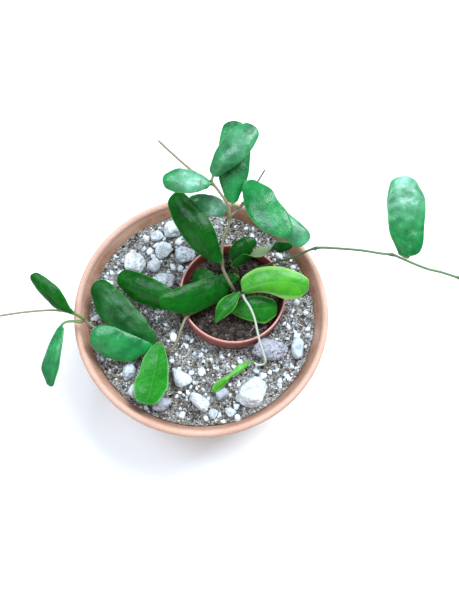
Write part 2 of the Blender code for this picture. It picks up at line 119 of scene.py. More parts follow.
# The vines' routes repeat the frame's; the thin ends are up to 0.3 mm thicker in radius
# here. Each vine has its radius at the root and at the tip, the points of its middle
# line, and the joints where leaves or roots grow, as places on the route.
VINES = {
    "vine_upright": dict(
        radii=(1.05, 0.65), finish="pale", slot="stem_pale",
        route=[(19, 12.5, 66), (19, 12.5, 69), (18, 12, 77), (15, 13, 84), (10, 18, 90),
               (8, 22, 94), (7, 27, 100), (7, 32, 105), (9, 38, 110), (9, 42, 114),
               (7, 46, 119), (3, 49, 123), (-3, 53, 127), (-10, 57, 125.5),
               (-18.5, 62, 126.5), (-28, 67, 130), (-36, 71, 134)],
        joints=[(8, 22, 94), (9, 42, 114), (-3, 53, 127)]),
    "vine_upright_branch": dict(
        radii=(0.8, 0.5), finish="pale", slot="stem_pale",
        route=[(9.3, 42.2, 114), (13, 46.5, 115), (16, 51, 117), (19, 57, 119),
               (22, 62, 123), (25, 66, 129)],
        joints=[(15, 49.5, 116.5), (20, 58.5, 120)]),
    "vine_left": dict(
        radii=(0.9, 0.6), finish="pale", slot="stem_pale",
        route=[(11.5, 16, 66), (11.5, 16, 68.5), (9.5, 12, 71), (5, 4, 73.5), (-1, -3, 77),
               (-8, -9, 78.7), (-10.5, -17, 77.5), (-12, -24, 74), (-16, -30, 71.5),
               (-23, -31, 70), (-30, -31, 71), (-39, -30, 73), (-51, -27, 76),
               (-59, -25, 79), (-64, -23, 82.5), (-69, -21, 85), (-75, -19.5, 85.5),
               (-81, -19.5, 86.5), (-88, -21, 88), (-101, -25, 89.5), (-114, -30, 91)],
        joints=[(-8, -9, 78.7), (-16, -30, 71.5), (-25, -31, 70.2), (-66, -22.5, 83.5)]),
    "vine_right": dict(
        radii=(0.8, 0.75), finish="green", slot="stem_green",
        route=[(23, 27, 66), (23, 27, 68.5), (24.5, 28, 73), (28, 28.5, 76), (33, 30.5, 79),
               (42, 33.5, 83), (52, 36.5, 87.5), (59, 39.5, 92), (65, 41, 94.5),
               (76, 41.2, 96.5), (89, 41, 98.5), (100, 40, 100), (108, 39.5, 101),
               (113, 37.5, 101.7), (126, 32.5, 103.5), (135, 30.5, 105), (146, 27, 107)],
        joints=[(63, 40.6, 93.5), (107, 39.7, 101), (144.6, 27.5, 106.7)]),
    "vine_front": dict(
        radii=(0.8, 0.6), finish="white", slot="stem_pale",
        route=[(24, 9, 66), (24, 9, 68.5), (23.5, 8, 78), (23, 7, 85), (24.5, 3.5, 87.3),
               (28, -0.5, 86.5), (31.5, -6, 84.5), (34, -12, 82), (36.5, -18, 79.5),
               (39.5, -23.5, 76.8), (41.8, -28, 74), (41, -30, 72.7), (38, -30.6, 71.8),
               (35.5, -29.6, 71.3)],
        joints=[(23, 7, 85), (41.8, -28.6, 73.8)]),
    "vine_inner": dict(
        radii=(1.0, 0.8), finish="green", slot="stem_green",
        route=[(20, 22.5, 66), (20, 22.5, 68.5), (19, 24, 73), (17, 26.5, 78),
               (15, 28, 81)],
        joints=[(17.3, 26, 77), (15.3, 27.6, 80.4)]),
}

# Each leaf: where its stalk starts, where the blade starts, its tip, the half widths of
# its left and its right side at five places from base to tip, which way it faces at
# base, middle and tip, how far its middle arches up and sways to its left, how far its
# margins turn down, how strongly it is quilted, and which leaf finish it has.
LEAVES = {
    "leaf_crown_top": dict(
        stalk=(-3.5, 54.5, 128.3), base=(-3, 56.3, 129.5), tip=(16.5, 81.5, 143),
        left=(4.7, 7.5, 8.8, 9.6, 7.4), right=(3.7, 5.8, 7, 6.9, 5),
        facing=[(0.1, -0.5, 0.85), (-0.1, -0.2, 0.96), (0, -0.3, 0.95)],
        arch=3, sway=0, turn=1.5, quilt=0.5, age="mature"),
    "leaf_crown_left": dict(
        stalk=(-4.2, 51.4, 128.3), base=(-4, 50.5, 130), tip=(-29, 46, 133),
        left=(3.7, 6.3, 7.1, 6.6, 4.9), right=(4.4, 7, 7.5, 6.9, 4.4),
        facing=[(0.2, 0, 0.95), (0.2, 0.02, 0.97), (-0.1, -0.3, 0.95)],
        arch=2.5, sway=0, turn=1.5, quilt=1.2, age="mature"),
    "leaf_crown_back": dict(
        stalk=(12, 46.5, 117.5), base=(9.5, 48.5, 117.5), tip=(4, 90, 136),
        left=(5.6, 8.3, 8.5, 8.4, 7.6), right=(4, 7.8, 9.3, 9.6, 8.2),
        facing=[(0, -0.4, 0.9), (0.1, -0.45, 0.85), (0.1, -0.4, 0.85)],
        arch=3, sway=0, turn=1.5, quilt=0.9, age="mature"),
    "leaf_branch_front": dict(
        stalk=(17, 52.5, 119), base=(15, 57.5, 126.5), tip=(42, 28.5, 126),
        left=(5.5, 8.4, 7.3, 7.2, 5.4), right=(5, 9, 10.8, 10, 6.5),
        facing=[(0, -0.3, 0.95), (0.1, -0.4, 0.9), (0, -0.35, 0.93)],
        arch=2, sway=0, turn=1.2, quilt=0.4, age="mature"),
    "leaf_branch_right": dict(
        stalk=(20, 56, 116.8), base=(22, 56, 115), tip=(55, 34, 112),
        left=(3, 4.6, 5, 5.4, 5), right=(4, 6.5, 7.2, 7.8, 7.2),
        facing=[(0, -0.2, 0.95), (-0.1, -0.2, 0.97), (-0.1, -0.2, 0.97)],
        arch=2.5, sway=0, turn=1.2, quilt=0.5, age="mature"),
    "leaf_mid_small": dict(
        stalk=(7.3, 41.5, 112.3), base=(6, 50.5, 105.5), tip=(-17, 53, 107),
        left=(5.6, 7, 7, 6.2, 4.8), right=(5, 7, 7, 6.4, 4.8),
        facing=[(0.2, 0, 0.95), (0.24, 0.08, 0.96), (0.2, 0, 0.95)],
        arch=2, sway=0, turn=1, quilt=0.9, age="mature"),
    "leaf_mid_long": dict(
        stalk=(5.8, 22.9, 95.7), base=(7, 20.5, 97.5), tip=(-24.5, 53, 113),
        left=(4.4, 8, 8.9, 8.9, 7.6), right=(4.4, 8, 8.8, 8.2, 5.4),
        facing=[(0, -0.4, 0.9), (0, -0.45, 0.9), (0, -0.45, 0.9)],
        arch=4, sway=1, turn=1.8, quilt=0.5, age="old"),
    "leaf_over_rim": dict(
        stalk=(16.2, 23.8, 76.2), base=(18.5, 20, 79), tip=(-24.5, -6.5, 92),
        left=(3.2, 7.2, 9, 9.2, 6.6), right=(6.8, 8.6, 8.6, 7.6, 5.2),
        facing=[(0, -0.5, 0.85), (0.05, -0.52, 0.85), (0.1, -0.4, 0.9)],
        arch=2, sway=3.5, turn=1.6, quilt=0.5, age="old"),
    "leaf_pot_back": dict(
        stalk=(14.5, 29.6, 80.4), base=(12.5, 31, 82.5), tip=(26.5, 43.5, 88),
        left=(3.8, 6, 6.4, 5.6, 3.6), right=(3.5, 5, 5, 4.5, 3.2),
        facing=[(0, -0.5, 0.85), (0, -0.6, 0.8), (0, -0.6, 0.8)],
        arch=1.5, sway=0.5, turn=1, quilt=0.5, age="old"),
    "leaf_pot_twisted": dict(
        stalk=(15.2, 25.9, 81.4), base=(14, 26.3, 84.5), tip=(48.5, 39.5, 95),
        left=(2.4, 5, 6.2, 5.2, 2.8), right=(2.4, 5, 6.4, 5, 2.6),
        facing=[(0.1, -0.5, 0.8), (0, -0.62, -0.76), (0, -0.5, 0.85)],
        arch=-1, sway=-1.5, turn=0.5, quilt=0.4, age="old"),
    "leaf_lime_front": dict(
        stalk=(23.4, 8.8, 87), base=(22.5, 8.3, 88.3), tip=(60.5, 14.5, 93),
        left=(8.4, 9.9, 9.4, 8.2, 6), right=(3.3, 5, 8, 9.9, 8),
        facing=[(0, -0.35, 0.93), (0, -0.4, 0.9), (0, -0.35, 0.93)],
        arch=3, sway=4, turn=2, quilt=0.3, age="lime"),
    "leaf_in_pot_front": dict(
        stalk=(21.4, 6.6, 71.6), base=(17.5, 0.2, 75.3), tip=(45, 5, 78.5),
        left=(3.5, 6.6, 8.2, 7.6, 5.6), right=(3.8, 6.4, 8.4, 9.3, 6.4),
        facing=[(0, -0.35, 0.95), (0, -0.4, 0.9), (0, -0.3, 0.95)],
        arch=2, sway=0, turn=1.5, quilt=0.4, age="fresh"),
    "leaf_young_front": dict(
        stalk=(21.2, 6.2, 85.6), base=(20, 6, 89), tip=(9.5, -11.5, 82),
        left=(2.2, 3.7, 3.9, 2.6, 0.9), right=(3, 5.2, 5.8, 5, 2.2),
        facing=[(-0.2, -0.3, 0.9), (-0.2, -0.4, 0.88), (-0.3, -0.3, 0.85)],
        arch=2, sway=0, turn=1, quilt=0.3, age="fresh"),
    "leaf_in_pot_left": dict(
        stalk=(8.2, 15.6, 71.4), base=(6, 17, 72), tip=(-9.5, 21, 73),
        left=(3.6, 6, 6.5, 6, 4.4), right=(3.6, 6, 6.5, 6, 4.4),
        facing=[(0, -0.2, 0.97), (0, -0.2, 0.97), (0, -0.2, 0.97)],
        arch=1.5, sway=0, turn=1, quilt=0.5, age="old"),
    "leaf_low_left": dict(
        stalk=(-10.2, -8.5, 79.6), base=(-10.5, -3, 80), tip=(-54, 10, 80),
        left=(4.6, 8.4, 9.3, 9.5, 6.4), right=(4.4, 6.6, 7.2, 7.3, 6.4),
        facing=[(0, -0.5, 0.86), (0, -0.5, 0.86), (0, -0.4, 0.9)],
        arch=2.5, sway=0, turn=1.8, quilt=0.6, age="old"),
    "leaf_bowl_big": dict(
        stalk=(-22.5, -29.4, 71), base=(-25, -28, 73.5), tip=(-67, 2.5, 81),
        left=(5, 9.4, 11.4, 11.2, 6.8), right=(5, 7.5, 7.8, 8, 7),
        facing=[(0, -0.45, 0.9), (-0.12, -0.25, 0.96), (-0.2, -0.2, 0.95)],
        arch=2.5, sway=0, turn=1.5, quilt=1.0, age="old"),
    "leaf_bowl_round": dict(
        stalk=(-27, -32, 72.6), base=(-25.5, -30.5, 75.5), tip=(-61, -31, 82),
        left=(4.6, 10, 11, 9.8, 6.6), right=(3.4, 5.4, 7.2, 8.6, 7.6),
        facing=[(0, -0.5, 0.88), (-0.02, -0.5, 0.87), (-0.05, -0.45, 0.9)],
        arch=3, sway=0, turn=1.5, quilt=0.9, age="mature"),
    "leaf_bright_front": dict(
        stalk=(-18.6, -30.6, 72.2), base=(-21.3, -28.5, 79), tip=(-21.5, -64.5, 81),
        left=(3.8, 6.8, 8.4, 9.4, 7), right=(5.2, 8.2, 8.9, 9.9, 8.4),
        facing=[(0, -0.45, 0.9), (-0.1, -0.45, 0.9), (-0.15, -0.2, 0.97)],
        arch=-1, sway=0.5, turn=-1.2, quilt=0.3, age="bright"),
    "leaf_outer_top": dict(
        stalk=(-65.8, -21.8, 86.2), base=(-71.5, -20.5, 90), tip=(-97.5, -4.5, 98),
        left=(2.8, 5.2, 5, 4.6, 3.6), right=(1.2, 4, 6, 5.2, 4),
        facing=[(-0.2, -0.5, 0.8), (-0.25, -0.55, 0.8), (-0.3, -0.5, 0.8)],
        arch=1.5, sway=0, turn=1, quilt=0.3, age="old"),
    "leaf_outer_low": dict(
        stalk=(-67, -23.8, 84.6), base=(-77, -28.5, 87), tip=(-76, -62, 80),
        left=(2.6, 3.8, 4, 3.6, 2), right=(3, 4.6, 6, 8, 4),
        facing=[(-0.3, -0.3, 0.9), (-0.3, -0.4, 0.88), (-0.2, -0.4, 0.9)],
        arch=2.5, sway=0, turn=1, quilt=0.8, age="mature"),
    "leaf_far_right": dict(
        stalk=(110.5, 40.6, 102.6), base=(115.5, 38.2, 104.4), tip=(106, 80.5, 122),
        left=(7.4, 10.6, 11.8, 11.9, 9.8), right=(7.8, 9.7, 10.7, 11.8, 9.7),
        facing=[(-0.2, -0.5, 0.87), (0.1, -0.3, 0.95), (0.15, -0.1, 0.97)],
        arch=2.5, sway=0, turn=1.8, quilt=2.0, age="mature"),
    "leaf_shoot_tip": dict(
        stalk=(34.7, -29.3, 71.2), base=(32.3, -30, 71), tip=(13.5, -50, 71),
        left=(1.7, 2.1, 1, 2.2, 2.3), right=(1.7, 2.1, 1, 2.2, 2.3),
        facing=[(0, -0.3, 0.95), (0, -0.3, 0.95), (0, -0.3, 0.95)],
        arch=2, sway=-1, turn=0.3, quilt=0.2, age="lime"),
}

# The painted sheen of the leaves that have one, a pale blue patch painted where a highlight
# falls: its most, and where along the blade it is centred and how far it reaches there
# (shares of the blade's length).
PAINTED_SHEEN = {
    "leaf_crown_top": (0.2, 0.6, 0.5),
    "leaf_crown_left": (0.5, 0.4, 0.28),
    "leaf_crown_back": (0.05, 0.7, 0.4),
    "leaf_branch_right": (0.2, 0.6, 0.7),
    "leaf_mid_small": (0.6, 0.25, 0.25),
    "leaf_bowl_big": (0.04, 0.5, 0.5),
    "leaf_outer_low": (0.04, 0.6, 0.4),
    "leaf_far_right": (0.45, 0.9, 0.35),
}

# Each lump of pumice: the frame's angle of its length, its tint from white (0) through
# blue-grey (0.5) to lilac-grey (1), and how deeply it is pitted.
PUMICE = {
    "stone_back_large": (80, 0.1, 0.8),
    "stone_back_small": (10, 0.2, 0.4),
    "stone_back_mid": (70, 0.1, 1.0),
    "stone_back_rough": (20, 0.3, 1.6),
    "stone_left_large": (30, 0.0, 0.6),
    "stone_left_mid": (85, 0.05, 0.3),
    "stone_left_low": (0, 0.2, 1.0),
    "stone_pitted": (5, 1.0, 1.8),
    "stone_smooth": (100, 0.6, 0.1),
    "stone_front_large": (60, 0.15, 0.8),
    "stone_front_blue": (45, 0.8, 0.2),
    "stone_front_long": (145, 0.05, 0.8),
    "stone_front_left": (150, 0.1, 0.7),
    "stone_edge_left": (100, 0.1, 0.2),
    "stone_edge_front": (10, 0.85, 0.4),
    "stone_rough_left": (90, 0.4, 1.5),
    "stone_front_chip": (20, 0.3, 0.3),
    "stone_front_pebble": (70, 0.35, 0.3),
}

# The white crumbs too big for the scatter and too small to be stones: centre and width.
CRUMBS = [
    (60.6, -7.6, 5.2), (66.8, -6.2, 4.4), (54.5, -2.6, 4.1), (64.3, 9, 4.2),
    (58.1, 14.8, 4.8), (58, -35, 3.6), (42, -36, 5.5), (28.5, -56, 4.8), (12, -65.5, 4.2),
    (-2.2, -65.5, 5), (30, -63.5, 4), (5.3, -38.6, 5.6), (-15.5, -19.7, 6.4),
    (-64.3, -14.1, 5), (-23.5, -64.5, 3.6), (53.4, 38.9, 4.8), (43.5, 45.5, 5.6),
    (-0.6, 61, 4.3), (-19, 27, 5.4), (-45, 37, 4.4), (-57, 18, 3.6), (-1, -52, 3.4),
    (-22, -52, 3.6), (50, -31, 3.8), (66, -14, 3.2), (47, -58, 2.8), (22, -66, 3.4),
    (-50, -38, 3.6), (-26, -38, 4.4), (24, 58, 3.4), (62, 24, 3.4), (-41, 36, 5.6),
    (-24, 27.5, 5.2), (-38, 32.5, 5), (-44.5, 45, 6), (-23, 46, 6.2), (-37, 40.5, 5),
    (-16, 25.5, 4.4), (-52, 34, 4.6), (-21, 59, 4.2), (-56, 27, 3.8), (-33, 46.5, 3.4),
    (-43, 15.5, 4.6), (38, -33.5, 4.2), (52.5, -37.5, 4.8), (59, -27.5, 3.2),
    (29.9, -62.6, 4.2), (-2.5, -65.5, 4.4), (46, -33, 2.8), (66.5, -2, 3.4), (56, 5, 3),
]


# ---------------------------------------------------------------------------
# Colour and node helpers


def linear(text):
    """An sRGB hex colour as linear red, green, blue and alpha."""
    values = [int(text[index:index + 2], 16) / 255.0 for index in (1, 3, 5)]
    curved = [v / 12.92 if v <= 0.04045 else ((v + 0.055) / 1.055) ** 2.4 for v in values]
    return (*curved, 1.0)


def grey(value):
    return (value, value, value, 1.0)


# The options that a kind of node has here unless a call says otherwise, and its output.
# In a colour Mix, input 0 is the share and 6 and 7 are the colours.
USUAL = {"Mix": ({"data_type": "RGBA"}, 2), "Attribute": ({}, "Fac"),
         "TexCoord": ({}, "Object")}


def add_node(tree, kind, inputs=None, out=None, ramp=None, **settings):
    """Adds a node, sets its options, fills or links its inputs, and returns one output.
    A colour may be given as sRGB hex."""
    options, usual_output = USUAL.get(kind, ({}, 0))
    made = tree.nodes.new("ShaderNode" + kind)
    for option, value in {**options, **settings}.items():
        setattr(made, option, value)
    if ramp is not None:
        elements = made.color_ramp.elements
        for _ in range(len(ramp) - len(elements)):
            elements.new(0.5)
        for element, (place, colour) in zip(elements, ramp):
            element.position = place
            element.color = linear(colour)
    for key, value in (inputs or {}).items():
        if isinstance(value, str):
            value = linear(value)
        if isinstance(value, bpy.types.NodeSocket):
            tree.links.new(value, made.inputs[key])
        else:
            made.inputs[key].default_value = value
    return made.outputs[usual_output if out is None else out]


def new_material(name, roughness, ior):
    """A material with a Principled shader, its tree, and its Object coordinates."""
    material = bpy.data.materials.new(name)
    material.use_nodes = True
    tree = material.node_tree
    shader = tree.nodes["Principled BSDF"]
    shader.inputs["Roughness"].default_value = roughness
    shader.inputs["IOR"].default_value = ior
    place = add_node(tree, "TexCoord")
    return material, tree, shader, place


# ---------------------------------------------------------------------------
# Materials


def fired_clay(settings):
    """Terracotta, pressed and fired unglazed: chalky and matt, painted pale at the lip as a
    highlight, and painted deeper on the inner wall as the shade inside the bowl."""
    material, tree, shader, place = new_material("terracotta_unglazed", 0.86, 1.5)
    lip = add_node(tree, "Attribute", attribute_name="lip")
    inside = add_node(tree, "Attribute", attribute_name="inside")
    clouds = add_node(tree, "TexNoise", {"Vector": place, "Scale": 40.0, "Detail": 6.0,
        "Roughness": 0.65})
    # Clay grit about 0.4 mm across.
    grit = add_node(tree, "TexNoise", {"Vector": place, "Scale": 1100.0, "Detail": 2.0})
    outer = add_node(tree, "ValToRGB", {"Fac": clouds}, ramp=[(0.3, "#A87C66"),
        (0.5, "#B88F7A"), (0.72, "#C4A08C")])
    # Painted shade: the inner wall is painted deeper, for the shade inside the bowl.
    inner = add_node(tree, "ValToRGB", {"Fac": clouds}, ramp=[(0.34, "#8C5F45"),
        (0.5, "#AD7F66"), (0.66, "#C9A28A")])
    walls = add_node(tree, "Mix", {0: inside, 6: outer, 7: inner})
    lip_highlight = add_node(tree, "Mix", {0: clouds, 6: tuple(settings.clay_colour),
        7: tuple(settings.clay_lip_colour)})
    # The painted highlight at the lip has no hard edge: clouds push it in and out.
    pushed = add_node(tree, "Math", {0: clouds, 1: 0.5}, operation="SUBTRACT")
    ragged = add_node(tree, "Math", {0: pushed, 1: lip, 2: lip}, operation="MULTIPLY_ADD",
        use_clamp=True)
    body = add_node(tree, "Mix", {0: ragged, 6: walls, 7: lip_highlight})
    # Brown scuffs a few millimetres long.
    scuff = add_node(tree, "TexNoise", {"Vector": place, "Scale": 120.0, "Detail": 5.0,
        "Roughness": 0.7})
    mark = add_node(tree, "MapRange", {"Value": scuff, "From Min": 0.64, "From Max": 0.76,
        "To Max": 0.55})
    stained = add_node(tree, "Mix", {0: mark, 6: body, 7: "#8E6650"})
    shade = add_node(tree, "MapRange", {"Value": grit, "From Min": 0.3, "From Max": 0.7,
        "To Min": 0.88, "To Max": 1.08})
    final = add_node(tree, "Mix", {0: 1.0, 6: stained, 7: shade}, blend_type="MULTIPLY")
    fine = add_node(tree, "Bump", {"Height": grit, "Strength": 0.4, "Distance": 0.0003})
    wide = add_node(tree, "Bump", {"Height": scuff, "Strength": 0.3, "Distance": 0.0007,
        "Normal": fine})
    tree.links.new(final, shader.inputs["Base Color"])
    tree.links.new(wide, shader.inputs["Normal"])
    return material


def potting_grit():
    """Coarse sand, bark dust and crushed pumice, sieved and damp: matt and mottled, with
    particles of 0.5 to 2 mm that the bump draws between the modelled grains."""
    material, tree, shader, place = new_material("potting_grit_damp", 0.95, 1.45)
    patches = add_node(tree, "TexNoise", {"Vector": place, "Scale": 70.0, "Detail": 5.0,
        "Roughness": 0.7})
    cells = add_node(tree, "TexVoronoi", {"Vector": place, "Scale": 1300.0}, out="Color")
    particle = add_node(tree, "TexVoronoi", {"Vector": place, "Scale": 1300.0},
        out="Distance")
    split = add_node(tree, "SeparateColor", {"Color": cells})
    kind = add_node(tree, "ValToRGB", {"Fac": split}, ramp=[(0.0, "#2E2A27"),
        (0.3, "#5B564F"), (0.55, "#7C7770"), (0.78, "#A5A8A6"), (0.92, "#DCE6EA")])
    earth = add_node(tree, "ValToRGB", {"Fac": patches}, ramp=[(0.36, "#332C24"),
        (0.5, "#6E675A"), (0.64, "#A3A49B")])
    colour = add_node(tree, "Mix", {0: 0.5, 6: earth, 7: kind})
    bump = add_node(tree, "Bump", {"Height": particle, "Strength": 0.9, "Distance": 0.0008},
        invert=True)
    rough = add_node(tree, "Bump", {"Height": patches, "Strength": 0.5, "Distance": 0.0015,
        "Normal": bump})
    tree.links.new(colour, shader.inputs["Base Color"])
    tree.links.new(rough, shader.inputs["Normal"])
    return material


def loose_grain(name, ramp, roughness):
    """Loose grains, each with its own tone from the ramp, and a fine dusty mottle."""
    material, tree, shader, place = new_material(name, roughness, 1.45)
    tone = add_node(tree, "Attribute", attribute_name="tone")
    colour = add_node(tree, "ValToRGB", {"Fac": tone}, ramp=ramp)
    dust = add_node(tree, "TexNoise", {"Vector": place, "Scale": 1400.0, "Detail": 3.0,
        "Roughness": 0.7})
    shade = add_node(tree, "MapRange", {"Value": dust, "From Min": 0.3, "From Max": 0.7,
        "To Min": 0.72, "To Max": 1.15})
    final = add_node(tree, "Mix", {0: 1.0, 6: colour, 7: shade}, blend_type="MULTIPLY")
    bump = add_node(tree, "Bump", {"Height": dust, "Strength": 0.7, "Distance": 0.0003})
    tree.links.new(final, shader.inputs["Base Color"])
    tree.links.new(bump, shader.inputs["Normal"])
    return material


def pumice_stone():
    """Pumice, broken and tumbled: white to blue- and lilac-grey, matt, with gas holes of
    0.3 to 1 mm painted dark as the shade inside them."""
    material, tree, shader, place = new_material("pumice_tumbled", 0.92, 1.5)
    tint = add_node(tree, "Attribute", attribute_name="tint")
    pitting = add_node(tree, "Attribute", attribute_name="pitting")
    base = add_node(tree, "ValToRGB", {"Fac": tint}, ramp=[(0.0, "#DCE2E2"),
        (0.45, "#BCC9D0"), (1.0, "#A3A4AC")])
    cloud = add_node(tree, "TexNoise", {"Vector": place, "Scale": 260.0, "Detail": 4.0,
        "Roughness": 0.65})
    wash = add_node(tree, "MapRange", {"Value": cloud, "From Min": 0.36, "From Max": 0.62,
        "To Min": 0.66, "To Max": 1.06})
    body = add_node(tree, "Mix", {0: 1.0, 6: base, 7: wash}, blend_type="MULTIPLY")
    bent = add_node(tree, "VectorMath", {0: cloud, 1: (0.0016, 0.0016, 0.0016), 2: place},
        operation="MULTIPLY_ADD")
    holes = add_node(tree, "TexVoronoi", {"Vector": bent, "Scale": 760.0}, out="Distance")
    where = add_node(tree, "TexNoise", {"Vector": place, "Scale": 330.0, "Detail": 2.0})
    spread = add_node(tree, "MapRange", {"Value": where, "From Min": 0.5, "From Max": 0.62})
    hole = add_node(tree, "MapRange", {"Value": holes, "From Min": 0.5, "From Max": 0.1})
    patchy = add_node(tree, "Math", {0: hole, 1: spread}, operation="MULTIPLY")
    dark = add_node(tree, "Math", {0: patchy, 1: pitting}, operation="MULTIPLY",
        use_clamp=True)
    # Painted shade: the holes are painted dark grey.
    colour = add_node(tree, "Mix", {0: dark, 6: body, 7: "#67676B"})
    dents = add_node(tree, "Bump", {"Height": dark, "Strength": 0.8, "Distance": 0.0006},
        invert=True)
    grain = add_node(tree, "Bump", {"Height": cloud, "Strength": 0.6, "Distance": 0.0007,
        "Normal": dents})
    tree.links.new(colour, shader.inputs["Base Color"])
    tree.links.new(grain, shader.inputs["Normal"])
    return material


def moulded_pot(settings):
    """Polypropylene, thin and injection moulded: an even red-brown with a satin skin,
    a paler pink painted along the lip as a highlight, with a little dried soil on it."""
    material, tree, shader, place = new_material("polypropylene_moulded", 0.42, 1.49)
    lip = add_node(tree, "Attribute", attribute_name="lip")
    clouds = add_node(tree, "TexNoise", {"Vector": place, "Scale": 140.0, "Detail": 4.0,
        "Roughness": 0.6})
    # Painted highlight: the top of the lip is painted a paler pink.
    body = add_node(tree, "Mix", {0: lip, 6: tuple(settings.pot_colour), 7: "#C98E84"})
    soil = add_node(tree, "MapRange", {"Value": clouds, "From Min": 0.56, "From Max": 0.72,
        "To Max": 0.45})
    colour = add_node(tree, "Mix", {0: soil, 6: body, 7: "#503830"})
    rough = add_node(tree, "MapRange", {"Value": clouds, "From Min": 0.3, "From Max": 0.7,
        "To Min": 0.34, "To Max": 0.62})
    bump = add_node(tree, "Bump", {"Height": clouds, "Strength": 0.15, "Distance": 0.0003})
    tree.links.new(colour, shader.inputs["Base Color"])
    tree.links.new(rough, shader.inputs["Roughness"])
    tree.links.new(bump, shader.inputs["Normal"])
    return material


def damp_peat():
    """Milled peat with coir, damp: nearly black brown, matt, crumbly at 1 to 3 mm."""
    material, tree, shader, place = new_material("peat_milled_damp", 0.95, 1.4)
    crumbs = add_node(tree, "TexNoise", {"Vector": place, "Scale": 420.0, "Detail": 7.0,
        "Roughness": 0.75})
    colour = add_node(tree, "ValToRGB", {"Fac": crumbs}, ramp=[(0.38, "#15110F"),
        (0.5, "#3A322C"), (0.6, "#62584D"), (0.72, "#8B8073")])
    bump = add_node(tree, "Bump", {"Height": crumbs, "Strength": 1.0, "Distance": 0.0016})
    tree.links.new(colour, shader.inputs["Base Color"])
    tree.links.new(bump, shader.inputs["Normal"])
    return material


def leaf_cuticle(name, deep, clear, margin, edge, gloss, shine):
    """A hoya leaf's waxy cuticle over thick flesh: smooth and glossy, mottled between the
    side veins, paler along the middle vein and the margin, dull and pale underneath."""
    material, tree, shader, place = new_material(name, 0.3, 1.45)
    across = add_node(tree, "Attribute", attribute_name="across")
    along = add_node(tree, "Attribute", attribute_name="along")
    under = add_node(tree, "Attribute", attribute_name="under")
    side = add_node(tree, "Math", {0: across}, operation="ABSOLUTE")
    mottle = add_node(tree, "TexNoise", {"Vector": place, "Scale": 150.0, "Detail": 5.0,
        "Roughness": 0.6})
    broad = add_node(tree, "TexNoise", {"Vector": place, "Scale": 70.0, "Detail": 2.0})
    mixed = add_node(tree, "Mix", {0: 0.45, 2: mottle, 3: broad}, 0, data_type="FLOAT")
    flesh = add_node(tree, "MapRange", {"Value": mixed, "From Min": 0.38, "From Max": 0.62})
    body = add_node(tree, "Mix", {0: flesh, 6: deep, 7: clear})
    # Seven pairs of side veins that lean forward, each about 0.4 mm wide.
    lean = add_node(tree, "Math", {0: side, 1: -0.16, 2: along}, operation="MULTIPLY_ADD")
    wobble = add_node(tree, "Math", {0: mottle, 1: 0.07, 2: lean}, operation="MULTIPLY_ADD")
    phase = add_node(tree, "Math", {0: wobble, 1: 7.0}, operation="MULTIPLY")
    saw = add_node(tree, "Math", {0: phase, 1: 1.0}, operation="PINGPONG")
    vein = add_node(tree, "MapRange", {"Value": saw, "From Min": 0.12, "From Max": 0.0,
        "To Max": 0.06})
    rib = add_node(tree, "MapRange", {"Value": side, "From Min": 0.07, "From Max": 0.0,
        "To Max": 0.12})
    lines = add_node(tree, "Math", {0: vein, 1: rib}, operation="MAXIMUM")
    veined = add_node(tree, "Mix", {0: lines, 6: body, 7: margin})
    # Painted sheen: the green is painted a pale blue in soft patches where a highlight falls,
    # standing in for its reflection.
    painted_sheen = add_node(tree, "Attribute", attribute_name="painted_sheen")
    patch = add_node(tree, "MapRange", {"Value": mixed, "From Min": 0.36, "From Max": 0.6,
        "To Min": 0.25, "To Max": 1.25})
    cover = add_node(tree, "Math", {0: painted_sheen, 1: patch}, operation="MULTIPLY", use_clamp=True)
    with_sheen = add_node(tree, "Mix", {0: cover, 6: veined, 7: "#A8E6CC"})
    rim = add_node(tree, "MapRange", {"Value": side, "From Min": edge, "From Max": 1.0,
        "To Max": 0.7})
    top = add_node(tree, "Mix", {0: rim, 6: with_sheen, 7: margin})
    pale = add_node(tree, "Mix", {0: 0.6, 6: body, 7: "#A3B48C"})
    blade = add_node(tree, "Mix", {0: under, 6: top, 7: pale})
    stalk = add_node(tree, "MapRange", {"Value": along, "From Min": 0.02, "From Max": -0.2,
        "To Max": 0.8})
    colour = add_node(tree, "Mix", {0: stalk, 6: blade, 7: "#6E8648"})
    fine = add_node(tree, "TexNoise", {"Vector": place, "Scale": 520.0, "Detail": 3.0,
        "Roughness": 0.55})
    rough = add_node(tree, "MapRange", {"Value": fine, "From Min": 0.3, "From Max": 0.7,
        "To Min": gloss - 0.05, "To Max": gloss + 0.1})
    dull = add_node(tree, "Math", {0: under, 1: 0.25, 2: rough}, operation="MULTIPLY_ADD")
    quilt = add_node(tree, "Bump", {"Height": mottle, "Strength": 0.5, "Distance": 0.0015})
    skin = add_node(tree, "Bump", {"Height": fine, "Strength": 0.3, "Distance": 0.0005,
        "Normal": quilt})
    tree.links.new(colour, shader.inputs["Base Color"])
    tree.links.new(dull, shader.inputs["Roughness"])
    tree.links.new(skin, shader.inputs["Normal"])
    shader.inputs["Specular IOR Level"].default_value = shine
    shader.inputs["Coat Weight"].default_value = 0.3 * shine
    shader.inputs["Coat Roughness"].default_value = 0.18
    shader.inputs["Subsurface Weight"].default_value = 0.05
    shader.inputs["Subsurface Radius"].default_value = (0.0008, 0.002, 0.0004)
    shader.inputs["Subsurface Scale"].default_value = 1.0
    return material


